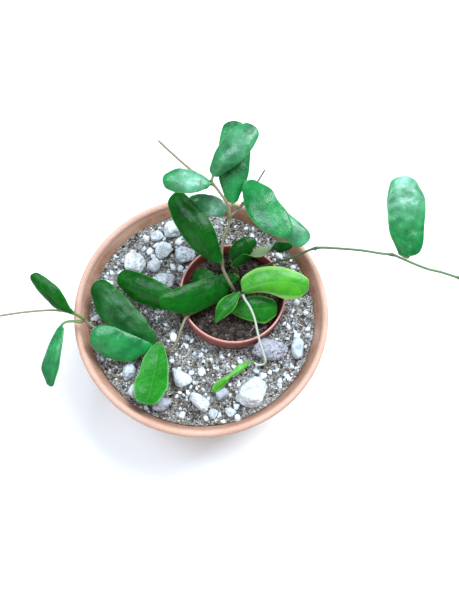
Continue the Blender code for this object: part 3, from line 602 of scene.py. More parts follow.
def vine_bark(name, young, old, scar):
    """A living hoya stem, waxy when young and thinly corked with age: satin, lightly
    streaked along its length, and dark at the scars of its joints."""
    material, tree, shader, place = new_material(name, 0.5, 1.45)
    along = add_node(tree, "Attribute", attribute_name="along")
    joint = add_node(tree, "Attribute", attribute_name="joint")
    blotch = add_node(tree, "TexNoise", {"Vector": place, "Scale": 160.0, "Detail": 4.0,
        "Roughness": 0.6})
    age = add_node(tree, "Math", {0: blotch, 1: 0.9, 2: along}, operation="MULTIPLY_ADD")
    share = add_node(tree, "MapRange", {"Value": age, "From Min": 0.45, "From Max": 1.15})
    body = add_node(tree, "Mix", {0: share, 6: old, 7: young})
    colour = add_node(tree, "Mix", {0: joint, 6: body, 7: scar})
    streak = add_node(tree, "TexNoise", {"Vector": place, "Scale": 900.0, "Detail": 2.0})
    bump = add_node(tree, "Bump", {"Height": streak, "Strength": 0.4, "Distance": 0.0002})
    tree.links.new(colour, shader.inputs["Base Color"])
    tree.links.new(bump, shader.inputs["Normal"])
    return material


# ---------------------------------------------------------------------------
# Modelling helpers. Lengths are in millimetres until a point is scaled by MM.


def smoothstep(low, high, value):
    share = min(max((value - low) / (high - low), 0.0), 1.0)
    return share * share * (3.0 - 2.0 * share)


def arc(centre, radii, start, end, count):
    """Points (radius, height) on a quarter or half ellipse, angles in degrees."""
    points = []
    for index in range(count):
        angle = math.radians(start + (end - start) * index / (count - 1))
        points.append((centre[0] + radii[0] * math.cos(angle),
                       centre[1] + radii[1] * math.sin(angle)))
    return points


def straight(start, end, count):
    """Points between two points, without the two ends."""
    return [(start[0] + (end[0] - start[0]) * index / (count + 1),
             start[1] + (end[1] - start[1]) * index / (count + 1))
            for index in range(1, count + 1)]


def make_active(obj):
    bpy.ops.object.select_all(action="DESELECT")
    obj.select_set(True)
    bpy.context.view_layer.objects.active = obj


def new_object(name, points, edges, faces):
    mesh = bpy.data.meshes.new(name)
    mesh.from_pydata(points, edges, faces)
    obj = bpy.data.objects.new(name, mesh)
    bpy.context.scene.collection.objects.link(obj)
    make_active(obj)
    return obj


def merge_and_face_out():
    """In Edit Mode: merges doubled points, turns the faces outward and leaves the mode."""
    bpy.ops.mesh.select_all(action="SELECT")
    bpy.ops.mesh.remove_doubles(threshold=0.000002)
    bpy.ops.mesh.normals_make_consistent(inside=False)
    bpy.ops.object.mode_set(mode="OBJECT")


def turned(name, outline, steps, centre=(0.0, 0.0)):
    """Spins an outline of (radius, height) once round Z and stands it at its centre."""
    points = [(radius * MM, 0.0, height * MM) for radius, height in outline]
    edges = [(index, index + 1) for index in range(len(points) - 1)]
    obj = new_object(name, points, edges, [])
    bpy.ops.object.mode_set(mode="EDIT")
    bpy.ops.mesh.select_all(action="SELECT")
    bpy.ops.mesh.spin(steps=steps, angle=2.0 * math.pi, center=(0.0, 0.0, 0.0),
                      axis=(0.0, 0.0, 1.0))
    merge_and_face_out()
    obj.data.transform(Matrix.Translation((centre[0] * MM, centre[1] * MM, 0.0)))
    return obj


def set_attribute(obj, name, values):
    attribute = obj.data.attributes.new(name, "FLOAT", "POINT")
    attribute.data.foreach_set("value", np.asarray(values, dtype=np.float32))


def finish_piece(obj, material, nodes=()):
    """Smooths a piece, gives it its material and hands it to the frame's body."""
    make_active(obj)
    bpy.ops.object.shade_smooth()
    obj.data.materials.clear()
    obj.data.materials.append(material)
    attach(obj, "root")
    if nodes:
        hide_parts(*nodes)
    return obj


def apply_boolean(obj, cutter):
    """Cuts one closed body from another and removes the cutter."""
    make_active(obj)
    boolean = obj.modifiers.new("Cut", "BOOLEAN")
    boolean.operation = "DIFFERENCE"
    boolean.solver = "EXACT"
    boolean.object = cutter
    bpy.ops.object.modifier_apply(modifier=boolean.name)
    bpy.data.objects.remove(cutter, do_unlink=True)


def smooth_route(route, parts):
    """Points on a Catmull-Rom curve through the route, with parts steps per stretch."""
    points = [Vector(point) for point in route]
    padded = [points[0] * 2.0 - points[1]] + points + [points[-1] * 2.0 - points[-2]]
    result = []
    for index in range(1, len(padded) - 2):
        before, start, end, after = padded[index - 1:index + 3]
        for part in range(parts):
            t = part / parts
            linear_term = (end - before) * t
            square_term = (before * 2.0 - start * 5.0 + end * 4.0 - after) * t * t
            cube_term = (start * 3.0 - before - end * 3.0 + after) * t * t * t
            result.append((start * 2.0 + linear_term + square_term + cube_term) * 0.5)
    result.append(points[-1])
    return result


def tubes(name, strands, resolution):
    """One mesh of round strands, each a list of (point, radius), made as bevelled curves."""
    curve = bpy.data.curves.new(name, "CURVE")
    curve.dimensions = "3D"
    curve.bevel_depth = MM
    curve.bevel_resolution = resolution
    curve.use_fill_caps = True
    for strand in strands:
        spline = curve.splines.new("POLY")
        spline.points.add(len(strand) - 1)
        for knot, (point, radius) in zip(spline.points, strand):
            knot.co = (point[0] * MM, point[1] * MM, point[2] * MM, 1.0)
            knot.radius = radius
    obj = bpy.data.objects.new(name, curve)
    bpy.context.scene.collection.objects.link(obj)
    make_active(obj)
    bpy.ops.object.convert(target="MESH")
    bpy.ops.object.mode_set(mode="EDIT")
    merge_and_face_out()
    return bpy.context.view_layer.objects.active


def lump_shapes(rng, count, subdivisions, roughness):
    """Points of some uneven grains of radius 1, and the triangles that they share."""
    bpy.ops.object.select_all(action="DESELECT")
    bpy.ops.mesh.primitive_ico_sphere_add(subdivisions=subdivisions, radius=1.0)
    ball = bpy.context.view_layer.objects.active
    points = np.array([vert.co for vert in ball.data.vertices])
    faces = np.array([face.vertices for face in ball.data.polygons])
    bpy.data.objects.remove(ball, do_unlink=True)
    shapes = []
    for _ in range(count):
        offset = Vector((rng.uniform(0, 90), rng.uniform(0, 90), rng.uniform(0, 90)))
        lumps = [1.0 + roughness * noise.noise(Vector(point) * 1.4 + offset)
                 for point in points]
        shapes.append(points * np.array(lumps)[:, None])
    return shapes, faces


def strew(name, rng, grains, subdivisions, roughness):
    """One mesh of loose grains, each (place, size along three axes, tone)."""
    shapes, faces = lump_shapes(rng, 9, subdivisions, roughness)
    points, triangles, tones = [], [], []
    for index, (place, size, tone) in enumerate(grains):
        turn = Euler([rng.uniform(0.0, 2.0 * math.pi) for _ in range(3)]).to_matrix()
        shape = (shapes[index % len(shapes)] * size) @ np.array(turn).T + place
        triangles.append(faces + len(shape) * index)
        points.append(shape * MM)
        tones.append(np.full(len(shape), tone))
    obj = new_object(name, np.concatenate(points).tolist(), [],
                     np.concatenate(triangles).tolist())
    set_attribute(obj, "tone", np.concatenate(tones))
    return obj


# ---------------------------------------------------------------------------
# Shapes that more than one operator asks about


def bed_height(x, y):
    """Height of the gritty mix: gently uneven, scooped out in front of the pot and
    pushed up a little along the bowl's wall."""
    rolling = 0.9 * noise.noise(Vector((x / 13.0, y / 13.0, 3.1)))
    rough = 0.45 * noise.noise(Vector((x / 4.5, y / 4.5, 7.7)))
    dx, dy = x - POT_X, y - POT_Y
    reach = math.hypot(dx, dy)
    front = max(0.0, (-0.55 * dx - 0.83 * dy) / max(reach, 1.0))
    fade = math.exp(-(((reach - POT_RADIUS) / HOLLOW_WIDTH) ** 2))
    scoop = HOLLOW_DEPTH * front * fade
    heap = 0.9 * smoothstep(63.0, 70.0, math.hypot(x, y))
    return MIX_LEVEL + rolling + rough + heap - scoop


def peat_height(x, y):
    rolling = 1.0 * noise.noise(Vector((x / 8.0, y / 8.0, 11.3)))
    rough = 0.8 * noise.noise(Vector((x / 2.6, y / 2.6, 1.9)))
    return SOIL_LEVEL + rolling + rough


def stone_ovals():
    """Centre and half sizes in plan of each lump of pumice."""
    ovals = []
    for name in PUMICE:
        low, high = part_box(name)
        centre = (low + high) * 0.5 / MM
        half = (high - low) * 0.5 / MM
        ovals.append((centre.x, centre.y, half.x, half.y))
    return ovals


def clear_of_stones(x, y, ovals, share):
    return all(((x - cx) / (hx * share)) ** 2 + ((y - cy) / (hy * share)) ** 2 > 1.0
               for cx, cy, hx, hy in ovals)


# ---------------------------------------------------------------------------
# Settings


def colour_property(name, description, text):
    return bpy.props.FloatVectorProperty(name=name, description=description,
                                         default=linear(text), size=4, subtype="COLOR",
                                         min=0.0, max=1.0)


class HoyaSettings(bpy.types.PropertyGroup):
    # The two lip colours are a painted highlight: the lip is painted paler than the wall.
    clay_colour: colour_property("Clay", "Colour of the bowl's lip under its painted highlight", "#BA8C74")
    clay_lip_colour: colour_property("Clay lip highlight", "Palest painted highlight on the lip", "#D8B5A2")
    pot_colour: colour_property("Pot", "Colour of the nursery pot", "#A2584C")
    leaf_colour: colour_property("Leaf", "Deep colour of a grown leaf", "#0A5A2A")
    old_leaf_colour: colour_property("Old leaf", "Deep colour of an old leaf", "#033F0A")
    lime_leaf_colour: colour_property("Young leaf", "Deep colour of a young leaf",
                                      "#2C8414")
    stem_colour: colour_property("Stem", "Colour of a young vine", "#827E60")
    grain_count: bpy.props.IntProperty(name="Grains", default=4200, min=0, max=9000,
                                       description="Number of loose grains on the mix")
    perlite_count: bpy.props.IntProperty(name="Perlite", default=900, min=0, max=3000,
                                         description="Number of white grains on the mix")
    fibre_count: bpy.props.IntProperty(name="Fibres", default=260, min=0, max=900,
                                       description="Number of fibres on the peat")
    leaf_thickness: bpy.props.FloatProperty(name="Leaf thickness", default=0.0017,
                                            min=0.0005, max=0.004, subtype="DISTANCE",
                                            unit="LENGTH",
                                            description="Thickness of a leaf's middle")
    leaf_relief: bpy.props.FloatProperty(name="Leaf relief", default=0.00022, min=0.0,
                                         max=0.001, subtype="DISTANCE", unit="LENGTH",
                                         description="Height of a leaf's quilting")


# ---------------------------------------------------------------------------
# Operators


class HOYA_OT_bowl(bpy.types.Operator):
    """Turn the wide clay bowl with its rounded lip"""
    bl_idname = "hoya.bowl"
    bl_label = "Clay bowl"

    def execute(self, context):
        slope = (BOWL_RADIUS - BOWL_WALL - BOWL_FLOOR_RADIUS - 4.0) / (BOWL_HEIGHT - 13.2)
        lip = (BOWL_RADIUS - 0.5 * BOWL_WALL, BOWL_HEIGHT - 2.7)
        inner_top = (BOWL_RADIUS - BOWL_WALL, lip[1])
        inner_foot = (BOWL_FLOOR_RADIUS + 4.0, BOWL_FLOOR + 4.0)
        shoulder = (BOWL_RADIUS - 0.7, BOWL_HEIGHT - 6.5)
        heel = (BOWL_FOOT_RADIUS + 2.0, 2.5)
        outline = [(0.0, BOWL_FLOOR), (0.5 * BOWL_FLOOR_RADIUS, BOWL_FLOOR)]
        outline += arc((BOWL_FLOOR_RADIUS - 1.0, BOWL_FLOOR + 4.5), (4.5, 4.5), -90, -25, 7)
        outline += [inner_foot]
        outline += straight(inner_foot, inner_top, 44)
        outline += arc(lip, (0.5 * BOWL_WALL, 2.7), 180, 0, 19)
        outline += [shoulder]
        outline += straight(shoulder, heel, 44)
        outline += arc((BOWL_FOOT_RADIUS - 0.2, 2.2), (2.2, 2.2), -5, -90, 6)
        outline += [(0.5 * BOWL_FOOT_RADIUS, 0.0), (0.0, 0.0)]
        bowl = turned("clay_bowl", outline, 180)
        lips, insides = [], []
        for vert in bowl.data.vertices:
            x, y, z = vert.co / MM
            radius = math.hypot(x, y)
            # The inner wall takes the painted shade and the band at the lip the painted
            # highlight.
            middle = BOWL_FLOOR_RADIUS + 4.0 + (z - BOWL_FLOOR - 4.0) * slope + 2.0
            inside = smoothstep(1.2, -1.2, radius - middle) if z > BOWL_FLOOR - 2.0 else 0.0
            lips.append(smoothstep(BOWL_HEIGHT - 7.5, BOWL_HEIGHT - 1.5, z))
            insides.append(inside)
            # The press and the kiln leave the wall a few tenths of a millimetre uneven.
            sag = noise.noise(Vector((x / 40.0, y / 40.0, z / 25.0)))
            ring = 0.05 * math.sin(z * 2.4 + sag)
            shrink = 1.0 - max(0.0, 0.12 + 0.12 * sag + ring) / max(radius, 20.0)
            if z > 1.0:
                vert.co.x *= shrink
                vert.co.y *= shrink
        set_attribute(bowl, "lip", lips)
        set_attribute(bowl, "inside", insides)
        finish_piece(bowl, fired_clay(context.scene.hoya), ["bowl"])
        return {"FINISHED"}


class HOYA_OT_mix(bpy.types.Operator):
    """Fill the bowl with gritty mix and strew its loose grains"""
    bl_idname = "hoya.mix"
    bl_label = "Gritty mix"

    def execute(self, context):
        self.make_bed()
        rng = random.Random(31)
        ovals = stone_ovals()
        settings = context.scene.hoya
        grit = [self.grain(rng, ovals, 0.3, 1.2, 0.9, rng.random())
                for _ in range(settings.grain_count)]
        piece = strew("grit_grains", rng, grit, 1, 0.9)
        finish_piece(piece, loose_grain("grit_sieved", [(0.0, "#241F1C"), (0.3, "#514940"),
            (0.65, "#827C72"), (0.88, "#AEACA6"), (1.0, "#CDC1AF")], 0.9))
        perlite = [self.grain(rng, ovals, 0.35, 2.1, 0.8, rng.random())
                   for _ in range(settings.perlite_count)]
        piece = strew("perlite_grains", rng, perlite, 1, 0.7)
        white = loose_grain("perlite_expanded", [(0.0, "#A9B6BD"), (0.4, "#CCD6DB"),
            (0.75, "#E4E9E9"), (1.0, "#F5F6F5")], 0.85)
        finish_piece(piece, white)
        piece = strew("perlite_bits", rng, self.bits(rng), 2, 0.8)
        finish_piece(piece, white)
        bark = [self.grain(rng, ovals, 0.9, 2.4, 0.3, rng.random()) for _ in range(150)]
        piece = strew("bark_chips", rng, bark, 1, 0.9)
        finish_piece(piece, loose_grain("pine_bark_milled", [(0.0, "#241B14"),
            (0.6, "#4B3A2C"), (1.0, "#6E5843")], 0.85))
        return {"FINISHED"}

    def make_bed(self):
        outline = [(0.0, MIX_LEVEL)]
        outline += straight((0.0, MIX_LEVEL), (MIX_EDGE, MIX_LEVEL), 76)
        outline += [(MIX_EDGE, MIX_LEVEL), (BOWL_FLOOR_RADIUS + 3.4, BOWL_FLOOR + 4.2)]
        outline += [(BOWL_FLOOR_RADIUS - 0.8, BOWL_FLOOR + 0.4), (0.0, BOWL_FLOOR + 0.4)]
        bed = turned("grit_bed", outline, 170)
        for vert in bed.data.vertices:
            if vert.co.z > (MIX_LEVEL - 0.5) * MM:
                vert.co.z = bed_height(vert.co.x / MM, vert.co.y / MM) * MM
        step = BOWL_HEIGHT - POT_LIP_DEPTH
        pocket = turned("pot_pocket", [
            (0.0, BOWL_HEIGHT), (POT_RADIUS + 0.4, BOWL_HEIGHT), (POT_RADIUS + 0.4, step),
            (POT_RADIUS - 1.5, step - 1.0), (POT_BASE_RADIUS + 0.3, POT_BASE - 0.3),
            (0.0, POT_BASE - 0.3)], 96, (POT_X, POT_Y))
        apply_boolean(bed, pocket)
        finish_piece(bed, potting_grit(), ["bowl_mix"])

    def grain(self, rng, ovals, smallest, largest, flatness, tone):
        """One grain at a free place on the bed; small ones are the most common."""
        size = smallest + (largest - smallest) * rng.random() ** 2.2
        while True:
            radius = 69.6 * math.sqrt(rng.random())
            angle = rng.uniform(0.0, 2.0 * math.pi)
            x, y = radius * math.cos(angle), radius * math.sin(angle)
            free = math.hypot(x - POT_X, y - POT_Y) > POT_RADIUS + 0.5 + size
            if free and radius + size < 70.4 and clear_of_stones(x, y, ovals, 0.92):
                break
        z = bed_height(x, y) + rng.uniform(-0.15, 0.4) * size
        sizes = (size, size * rng.uniform(0.6, 1.0), size * flatness * rng.uniform(0.6, 1.0))
        return (x, y, z), sizes, tone

    def bits(self, rng):
        """The white crumbs, each sunk a little into the bed."""
        bits = []
        for x, y, width in CRUMBS:
            half = 0.5 * width
            sizes = (half, half * rng.uniform(0.7, 1.0), half * rng.uniform(0.6, 0.85))
            bits.append(((x, y, bed_height(x, y) + 0.25 * half), sizes,
                         rng.uniform(0.3, 1.0)))
        return bits


class HOYA_OT_stones(bpy.types.Operator):
    """Set the pumice lumps on the mix"""
    bl_idname = "hoya.stones"
    bl_label = "Pumice lumps"

    def execute(self, context):
        material = pumice_stone()
        for name, (angle, tint, pitting) in PUMICE.items():
            self.make_stone(name, angle, tint, pitting, material)
        return {"FINISHED"}

    def make_stone(self, name, angle, tint, pitting, material):
        low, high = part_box(name)
        centre, size = (low + high) * 0.5 / MM, (high - low) / MM
        turn = math.radians(angle)
        c, s = abs(math.cos(turn)), abs(math.sin(turn))
        # The frame's box is the oval's box after its turn: take the oval's own sides back.
        spread = c * c - s * s
        if abs(spread) > 0.2:
            length = math.sqrt(max(1.0, (size.x ** 2 * c * c - size.y ** 2 * s * s) / spread))
            width = math.sqrt(max(1.0, (size.y ** 2 * c * c - size.x ** 2 * s * s) / spread))
        else:
            length, width = size.x, size.y
        rng = random.Random(name)
        offset = Vector((rng.uniform(0, 50), rng.uniform(0, 50), rng.uniform(0, 50)))
        bpy.ops.object.select_all(action="DESELECT")
        bpy.ops.mesh.primitive_ico_sphere_add(subdivisions=5, radius=1.0)
        stone = bpy.context.view_layer.objects.active
        stone.name = name.replace("stone", "pumice")
        height = size.z
        spin = Matrix.Rotation(turn, 3, "Z")
        planes = []
        for _ in range(13):
            way = Vector((rng.gauss(0, 1), rng.gauss(0, 1), rng.gauss(0, 1))).normalized()
            planes.append((way, rng.uniform(0.66, 0.98)))
        for vert in stone.data.vertices:
            point = vert.co.copy()
            # The broken faces are planes, worn round where they meet.
            sharp = sum(max(0.0, way.dot(point) / depth) ** 20 for way, depth in planes)
            lump = (1.0 + sharp) ** (-1.0 / 20.0) * 1.07
            lump += 0.1 * noise.noise(point * 1.3 + offset)
            lump += 0.07 * noise.noise(point * 3.7 + offset)
            lump += 0.05 * pitting * noise.noise(point * 9.0 + offset)
            hole = noise.noise(point * 5.0 - offset) - 0.28
            lump -= 0.22 * pitting * max(0.0, hole)
            place = Vector((point.x * 0.5 * length, point.y * 0.5 * width,
                            point.z * 0.62 * height + 0.3 * height / lump)) * lump
            vert.co = spin @ place
        # Worn and chipped, it still fills the frame's box.
        points = [vert.co for vert in stone.data.vertices]
        left, right = min(p.x for p in points), max(p.x for p in points)
        front, back = min(p.y for p in points), max(p.y for p in points)
        top = max(p.z for p in points)
        for vert in stone.data.vertices:
            x = centre.x + ((vert.co.x - left) / (right - left) - 0.5) * size.x * 1.02
            y = centre.y + ((vert.co.y - front) / (back - front) - 0.5) * size.y * 1.02
            z = low.z / MM + max(vert.co.z * height / top, -1.4)
            vert.co = Vector((x, y, z)) * MM
        set_attribute(stone, "tint", [tint] * len(stone.data.vertices))
        set_attribute(stone, "pitting", [pitting] * len(stone.data.vertices))
        finish_piece(stone, material, [name])


class HOYA_OT_pot(bpy.types.Operator):
    """Turn the thin nursery pot"""
    bl_idname = "hoya.pot"
    bl_label = "Nursery pot"

    def execute(self, context):
        step = BOWL_HEIGHT - POT_LIP_DEPTH
        body = POT_RADIUS - 1.8
        crown = BOWL_HEIGHT - 0.65
        inner = POT_RADIUS - POT_WALL
        outline = [(0.0, POT_BASE + POT_WALL), (POT_BASE_RADIUS - 3.0, POT_BASE + POT_WALL)]
        outline += arc((POT_BASE_RADIUS - POT_WALL - 1.5, POT_BASE + POT_WALL + 1.5),
                       (1.5, 1.5), -90, -10, 5)
        outline += straight((POT_BASE_RADIUS - POT_WALL, POT_BASE + 4.0),
                            (body - POT_WALL, step - 1.6), 12)
        outline += [(body - POT_WALL, step - 1.4), (body - POT_WALL + 0.3, step - 0.6)]
        outline += [(inner - 0.3, step + 0.9), (inner, step + 1.6)]
        outline += straight((inner, step + 1.6), (inner, crown), 3)
        outline += arc((POT_RADIUS - 0.5 * POT_WALL, crown), (0.5 * POT_WALL, 0.65),
                       180, 0, 9)
        outline += straight((POT_RADIUS, crown), (POT_RADIUS, step + 0.3), 3)
        outline += arc((POT_RADIUS - 0.4, step + 0.4), (0.4, 0.4), 0, -90, 4)
        outline += [(body + 0.3, step - 0.1), (body, step - 0.7)]
        outline += straight((body, step - 1.0), (POT_BASE_RADIUS, POT_BASE + 2.0), 12)
        outline += arc((POT_BASE_RADIUS - 1.5, POT_BASE + 1.5), (1.5, 1.5), 0, -90, 5)
        outline += [(0.0, POT_BASE)]
        pot = turned("moulded_nursery_pot", outline, 144, (POT_X, POT_Y))
        # The top of the lip, where the painted highlight goes.
        lips = []
        for vert in pot.data.vertices:
            radius = math.hypot(vert.co.x / MM - POT_X, vert.co.y / MM - POT_Y)
            rise = smoothstep(BOWL_HEIGHT - 1.6, BOWL_HEIGHT - 0.3, vert.co.z / MM)
            lips.append(rise * smoothstep(inner - 0.4, inner + 0.4, radius))
        set_attribute(pot, "lip", lips)
        finish_piece(pot, moulded_pot(context.scene.hoya), ["nursery_pot"])
        return {"FINISHED"}


class HOYA_OT_peat(bpy.types.Operator):
    """Fill the nursery pot with fibrous peat and lay fine roots on it"""
    bl_idname = "hoya.peat"
    bl_label = "Peat and roots"

    def execute(self, context):
        bed = self.make_bed()
        peat = damp_peat()
        finish_piece(bed, peat, ["pot_soil"])
        rng = random.Random(47)
        crumbs = [self.crumb(rng) for _ in range(1100)]
        piece = strew("peat_crumbs", rng, crumbs, 1, 1.0)
        finish_piece(piece, loose_grain("peat_crumbled", [(0.0, "#15110E"),
            (0.55, "#38302A"), (0.85, "#5A5046"), (1.0, "#84796A")], 0.95))
        count = context.scene.hoya.fibre_count
        piece = tubes("coir_fibres", [self.fibre(rng, 0.04, 0.09) for _ in range(count)], 0)
        finish_piece(piece, self.fibre_material("coir_dry", "#453A2F", "#7A6C58"))
        roots = [self.fibre(rng, 0.08, 0.15) for _ in range(14)]
        roots += self.lip_roots()
        piece = tubes("fine_roots", roots, 0)
        finish_piece(piece, self.fibre_material("root_fine", "#8A7F70", "#B9B0A2"))
        return {"FINISHED"}

    def make_bed(self):
        outline = [(0.0, SOIL_LEVEL)]
        outline += straight((0.0, SOIL_LEVEL), (SOIL_RADIUS - 1.3, SOIL_LEVEL), 46)
        outline += [(SOIL_RADIUS - 1.3, SOIL_LEVEL), (POT_BASE_RADIUS - 2.0, POT_BASE + 1.9)]
        outline += [(0.0, POT_BASE + 1.9)]
        bed = turned("peat_bed", outline, 120, (POT_X, POT_Y))
        for vert in bed.data.vertices:
            if vert.co.z > (SOIL_LEVEL - 0.5) * MM:
                vert.co.z = peat_height(vert.co.x / MM, vert.co.y / MM) * MM
        return bed

    def spot(self, rng, edge):
        radius = edge * math.sqrt(rng.random())
        angle = rng.uniform(0.0, 2.0 * math.pi)
        return POT_X + radius * math.cos(angle), POT_Y + radius * math.sin(angle)

    def crumb(self, rng):
        x, y = self.spot(rng, SOIL_RADIUS - 2.6)
        size = 0.35 + 1.1 * rng.random() ** 2.5
        sizes = (size, size * rng.uniform(0.5, 1.0), size * rng.uniform(0.4, 0.9))
        return (x, y, peat_height(x, y) + 0.3 * size), sizes, rng.random()

    def fibre(self, rng, thin, thick):
        """A curling strand that lies on the peat and lifts here and there."""
        x, y = self.spot(rng, SOIL_RADIUS - 5.0)
        heading = rng.uniform(0.0, 2.0 * math.pi)
        bend = rng.uniform(-0.5, 0.5)
        stride = rng.uniform(0.5, 1.5)
        lift = rng.uniform(0.2, 1.6)
        radius = rng.uniform(thin, thick)
        strand = []
        count = 8
        for index in range(count):
            rise = lift * math.sin(math.pi * index / (count - 1))
            if math.hypot(x - POT_X, y - POT_Y) < SOIL_RADIUS - 2.0:
                strand.append(((x, y, peat_height(x, y) + 0.15 + rise), radius))
            x += stride * math.cos(heading)
            y += stride * math.sin(heading)
            heading += bend + rng.uniform(-0.35, 0.35)
        return strand

    def lip_roots(self):
        """Pale branching roots that climb the pot's wall at the front."""
        main = [(30, -3, 68.6), (32, -6, 69.4), (34, -8, 70.6), (35.5, -11, 71.8),
                (36, -12.5, 73.4)]
        side = [(34, -8, 70.6), (36.5, -8.5, 71.2), (38.5, -7.5, 72.5), (40.5, -7, 74)]
        third = [(33, -7, 70), (31.5, -9.5, 70.2), (30.5, -12, 70.6), (28, -14, 70.4)]
        return [[(point, 0.2 - 0.02 * index) for index, point in
                 enumerate(smooth_route(route, 3))] for route in (main, side, third)]

    def fibre_material(self, name, dark, light):
        """Dry plant fibre: matt, bleached unevenly along each strand."""
        material, tree, shader, place = new_material(name, 0.8, 1.45)
        bleach = add_node(tree, "TexNoise", {"Vector": place, "Scale": 180.0,
            "Detail": 3.0})
        colour = add_node(tree, "ValToRGB", {"Fac": bleach}, ramp=[(0.35, dark), (0.65,
            light)])
        tree.links.new(colour, shader.inputs["Base Color"])
        return material


class HOYA_OT_vines(bpy.types.Operator):
    """Grow the vines, with their joints and root nubs"""
    bl_idname = "hoya.vines"
    bl_label = "Vines"

    def execute(self, context):
        pale = vine_bark("hoya_stem_waxy", tuple(context.scene.hoya.stem_colour),
                         linear("#7C785E"), linear("#4E4230"))
        green = vine_bark("hoya_stem_green", linear("#5C7448"), linear("#33482A"),
                          linear("#2A2018"))
        white = vine_bark("hoya_stem_new", linear("#B4C0AE"), linear("#9FA895"),
                          linear("#8A8368"))
        finishes = {"pale": pale, "green": green, "white": white}
        for name, vine in VINES.items():
            self.make_vine(name, vine, finishes[vine["finish"]])
        return {"FINISHED"}

    def make_vine(self, name, vine, material):
        points = smooth_route(vine["route"], 12)
        first, last = vine["radii"]
        joints = [Vector(joint) for joint in vine["joints"]]
        rng = random.Random(name)
        strand = []
        for index, point in enumerate(points):
            share = index / (len(points) - 1)
            near = min((point - joint).length for joint in joints)
            swell = 0.42 * math.exp(-((near / 1.5) ** 2))
            wander = 0.06 * noise.noise(point * 0.4)
            radius = (first + (last - first) * share) * (1.0 + swell + wander)
            strand.append((point, radius))
        # A growing tip is rounded, not cut.
        for back, shrink in ((1, 0.55), (2, 0.85)):
            point, radius = strand[-back]
            strand[-back] = (point, radius * shrink)
        strands = [strand]
        for joint in joints:
            strands += self.nubs(rng, joint, first * 0.8)
        piece = tubes(name.replace("vine", "stem"), strands, 4)
        tree = kdtree.KDTree(len(points))
        for index, point in enumerate(points):
            tree.insert(point * MM, index)
        tree.balance()
        along, scars = [], []
        for vert in piece.data.vertices:
            along.append(tree.find(vert.co)[1] / (len(points) - 1))
            near = min((vert.co / MM - joint).length for joint in joints)
            scars.append(0.75 * math.exp(-((near / 1.7) ** 2)))
        set_attribute(piece, "along", along)
        set_attribute(piece, "joint", scars)
        finish_piece(piece, material, [name])

    def nubs(self, rng, joint, radius):
        """Short root nubs round a joint, each thinning to its end."""
        strands = []
        for _ in range(4):
            way = Vector((rng.uniform(-1, 1), rng.uniform(-1, 1), rng.uniform(-1, 0.4)))
            way.normalize()
            length = rng.uniform(1.3, 2.1)
            strands.append([(joint + way * (length * share), 0.42 * (1.0 - 0.75 * share))
                            for share in (0.3, 0.6, 0.85, 1.0)])
        return strands


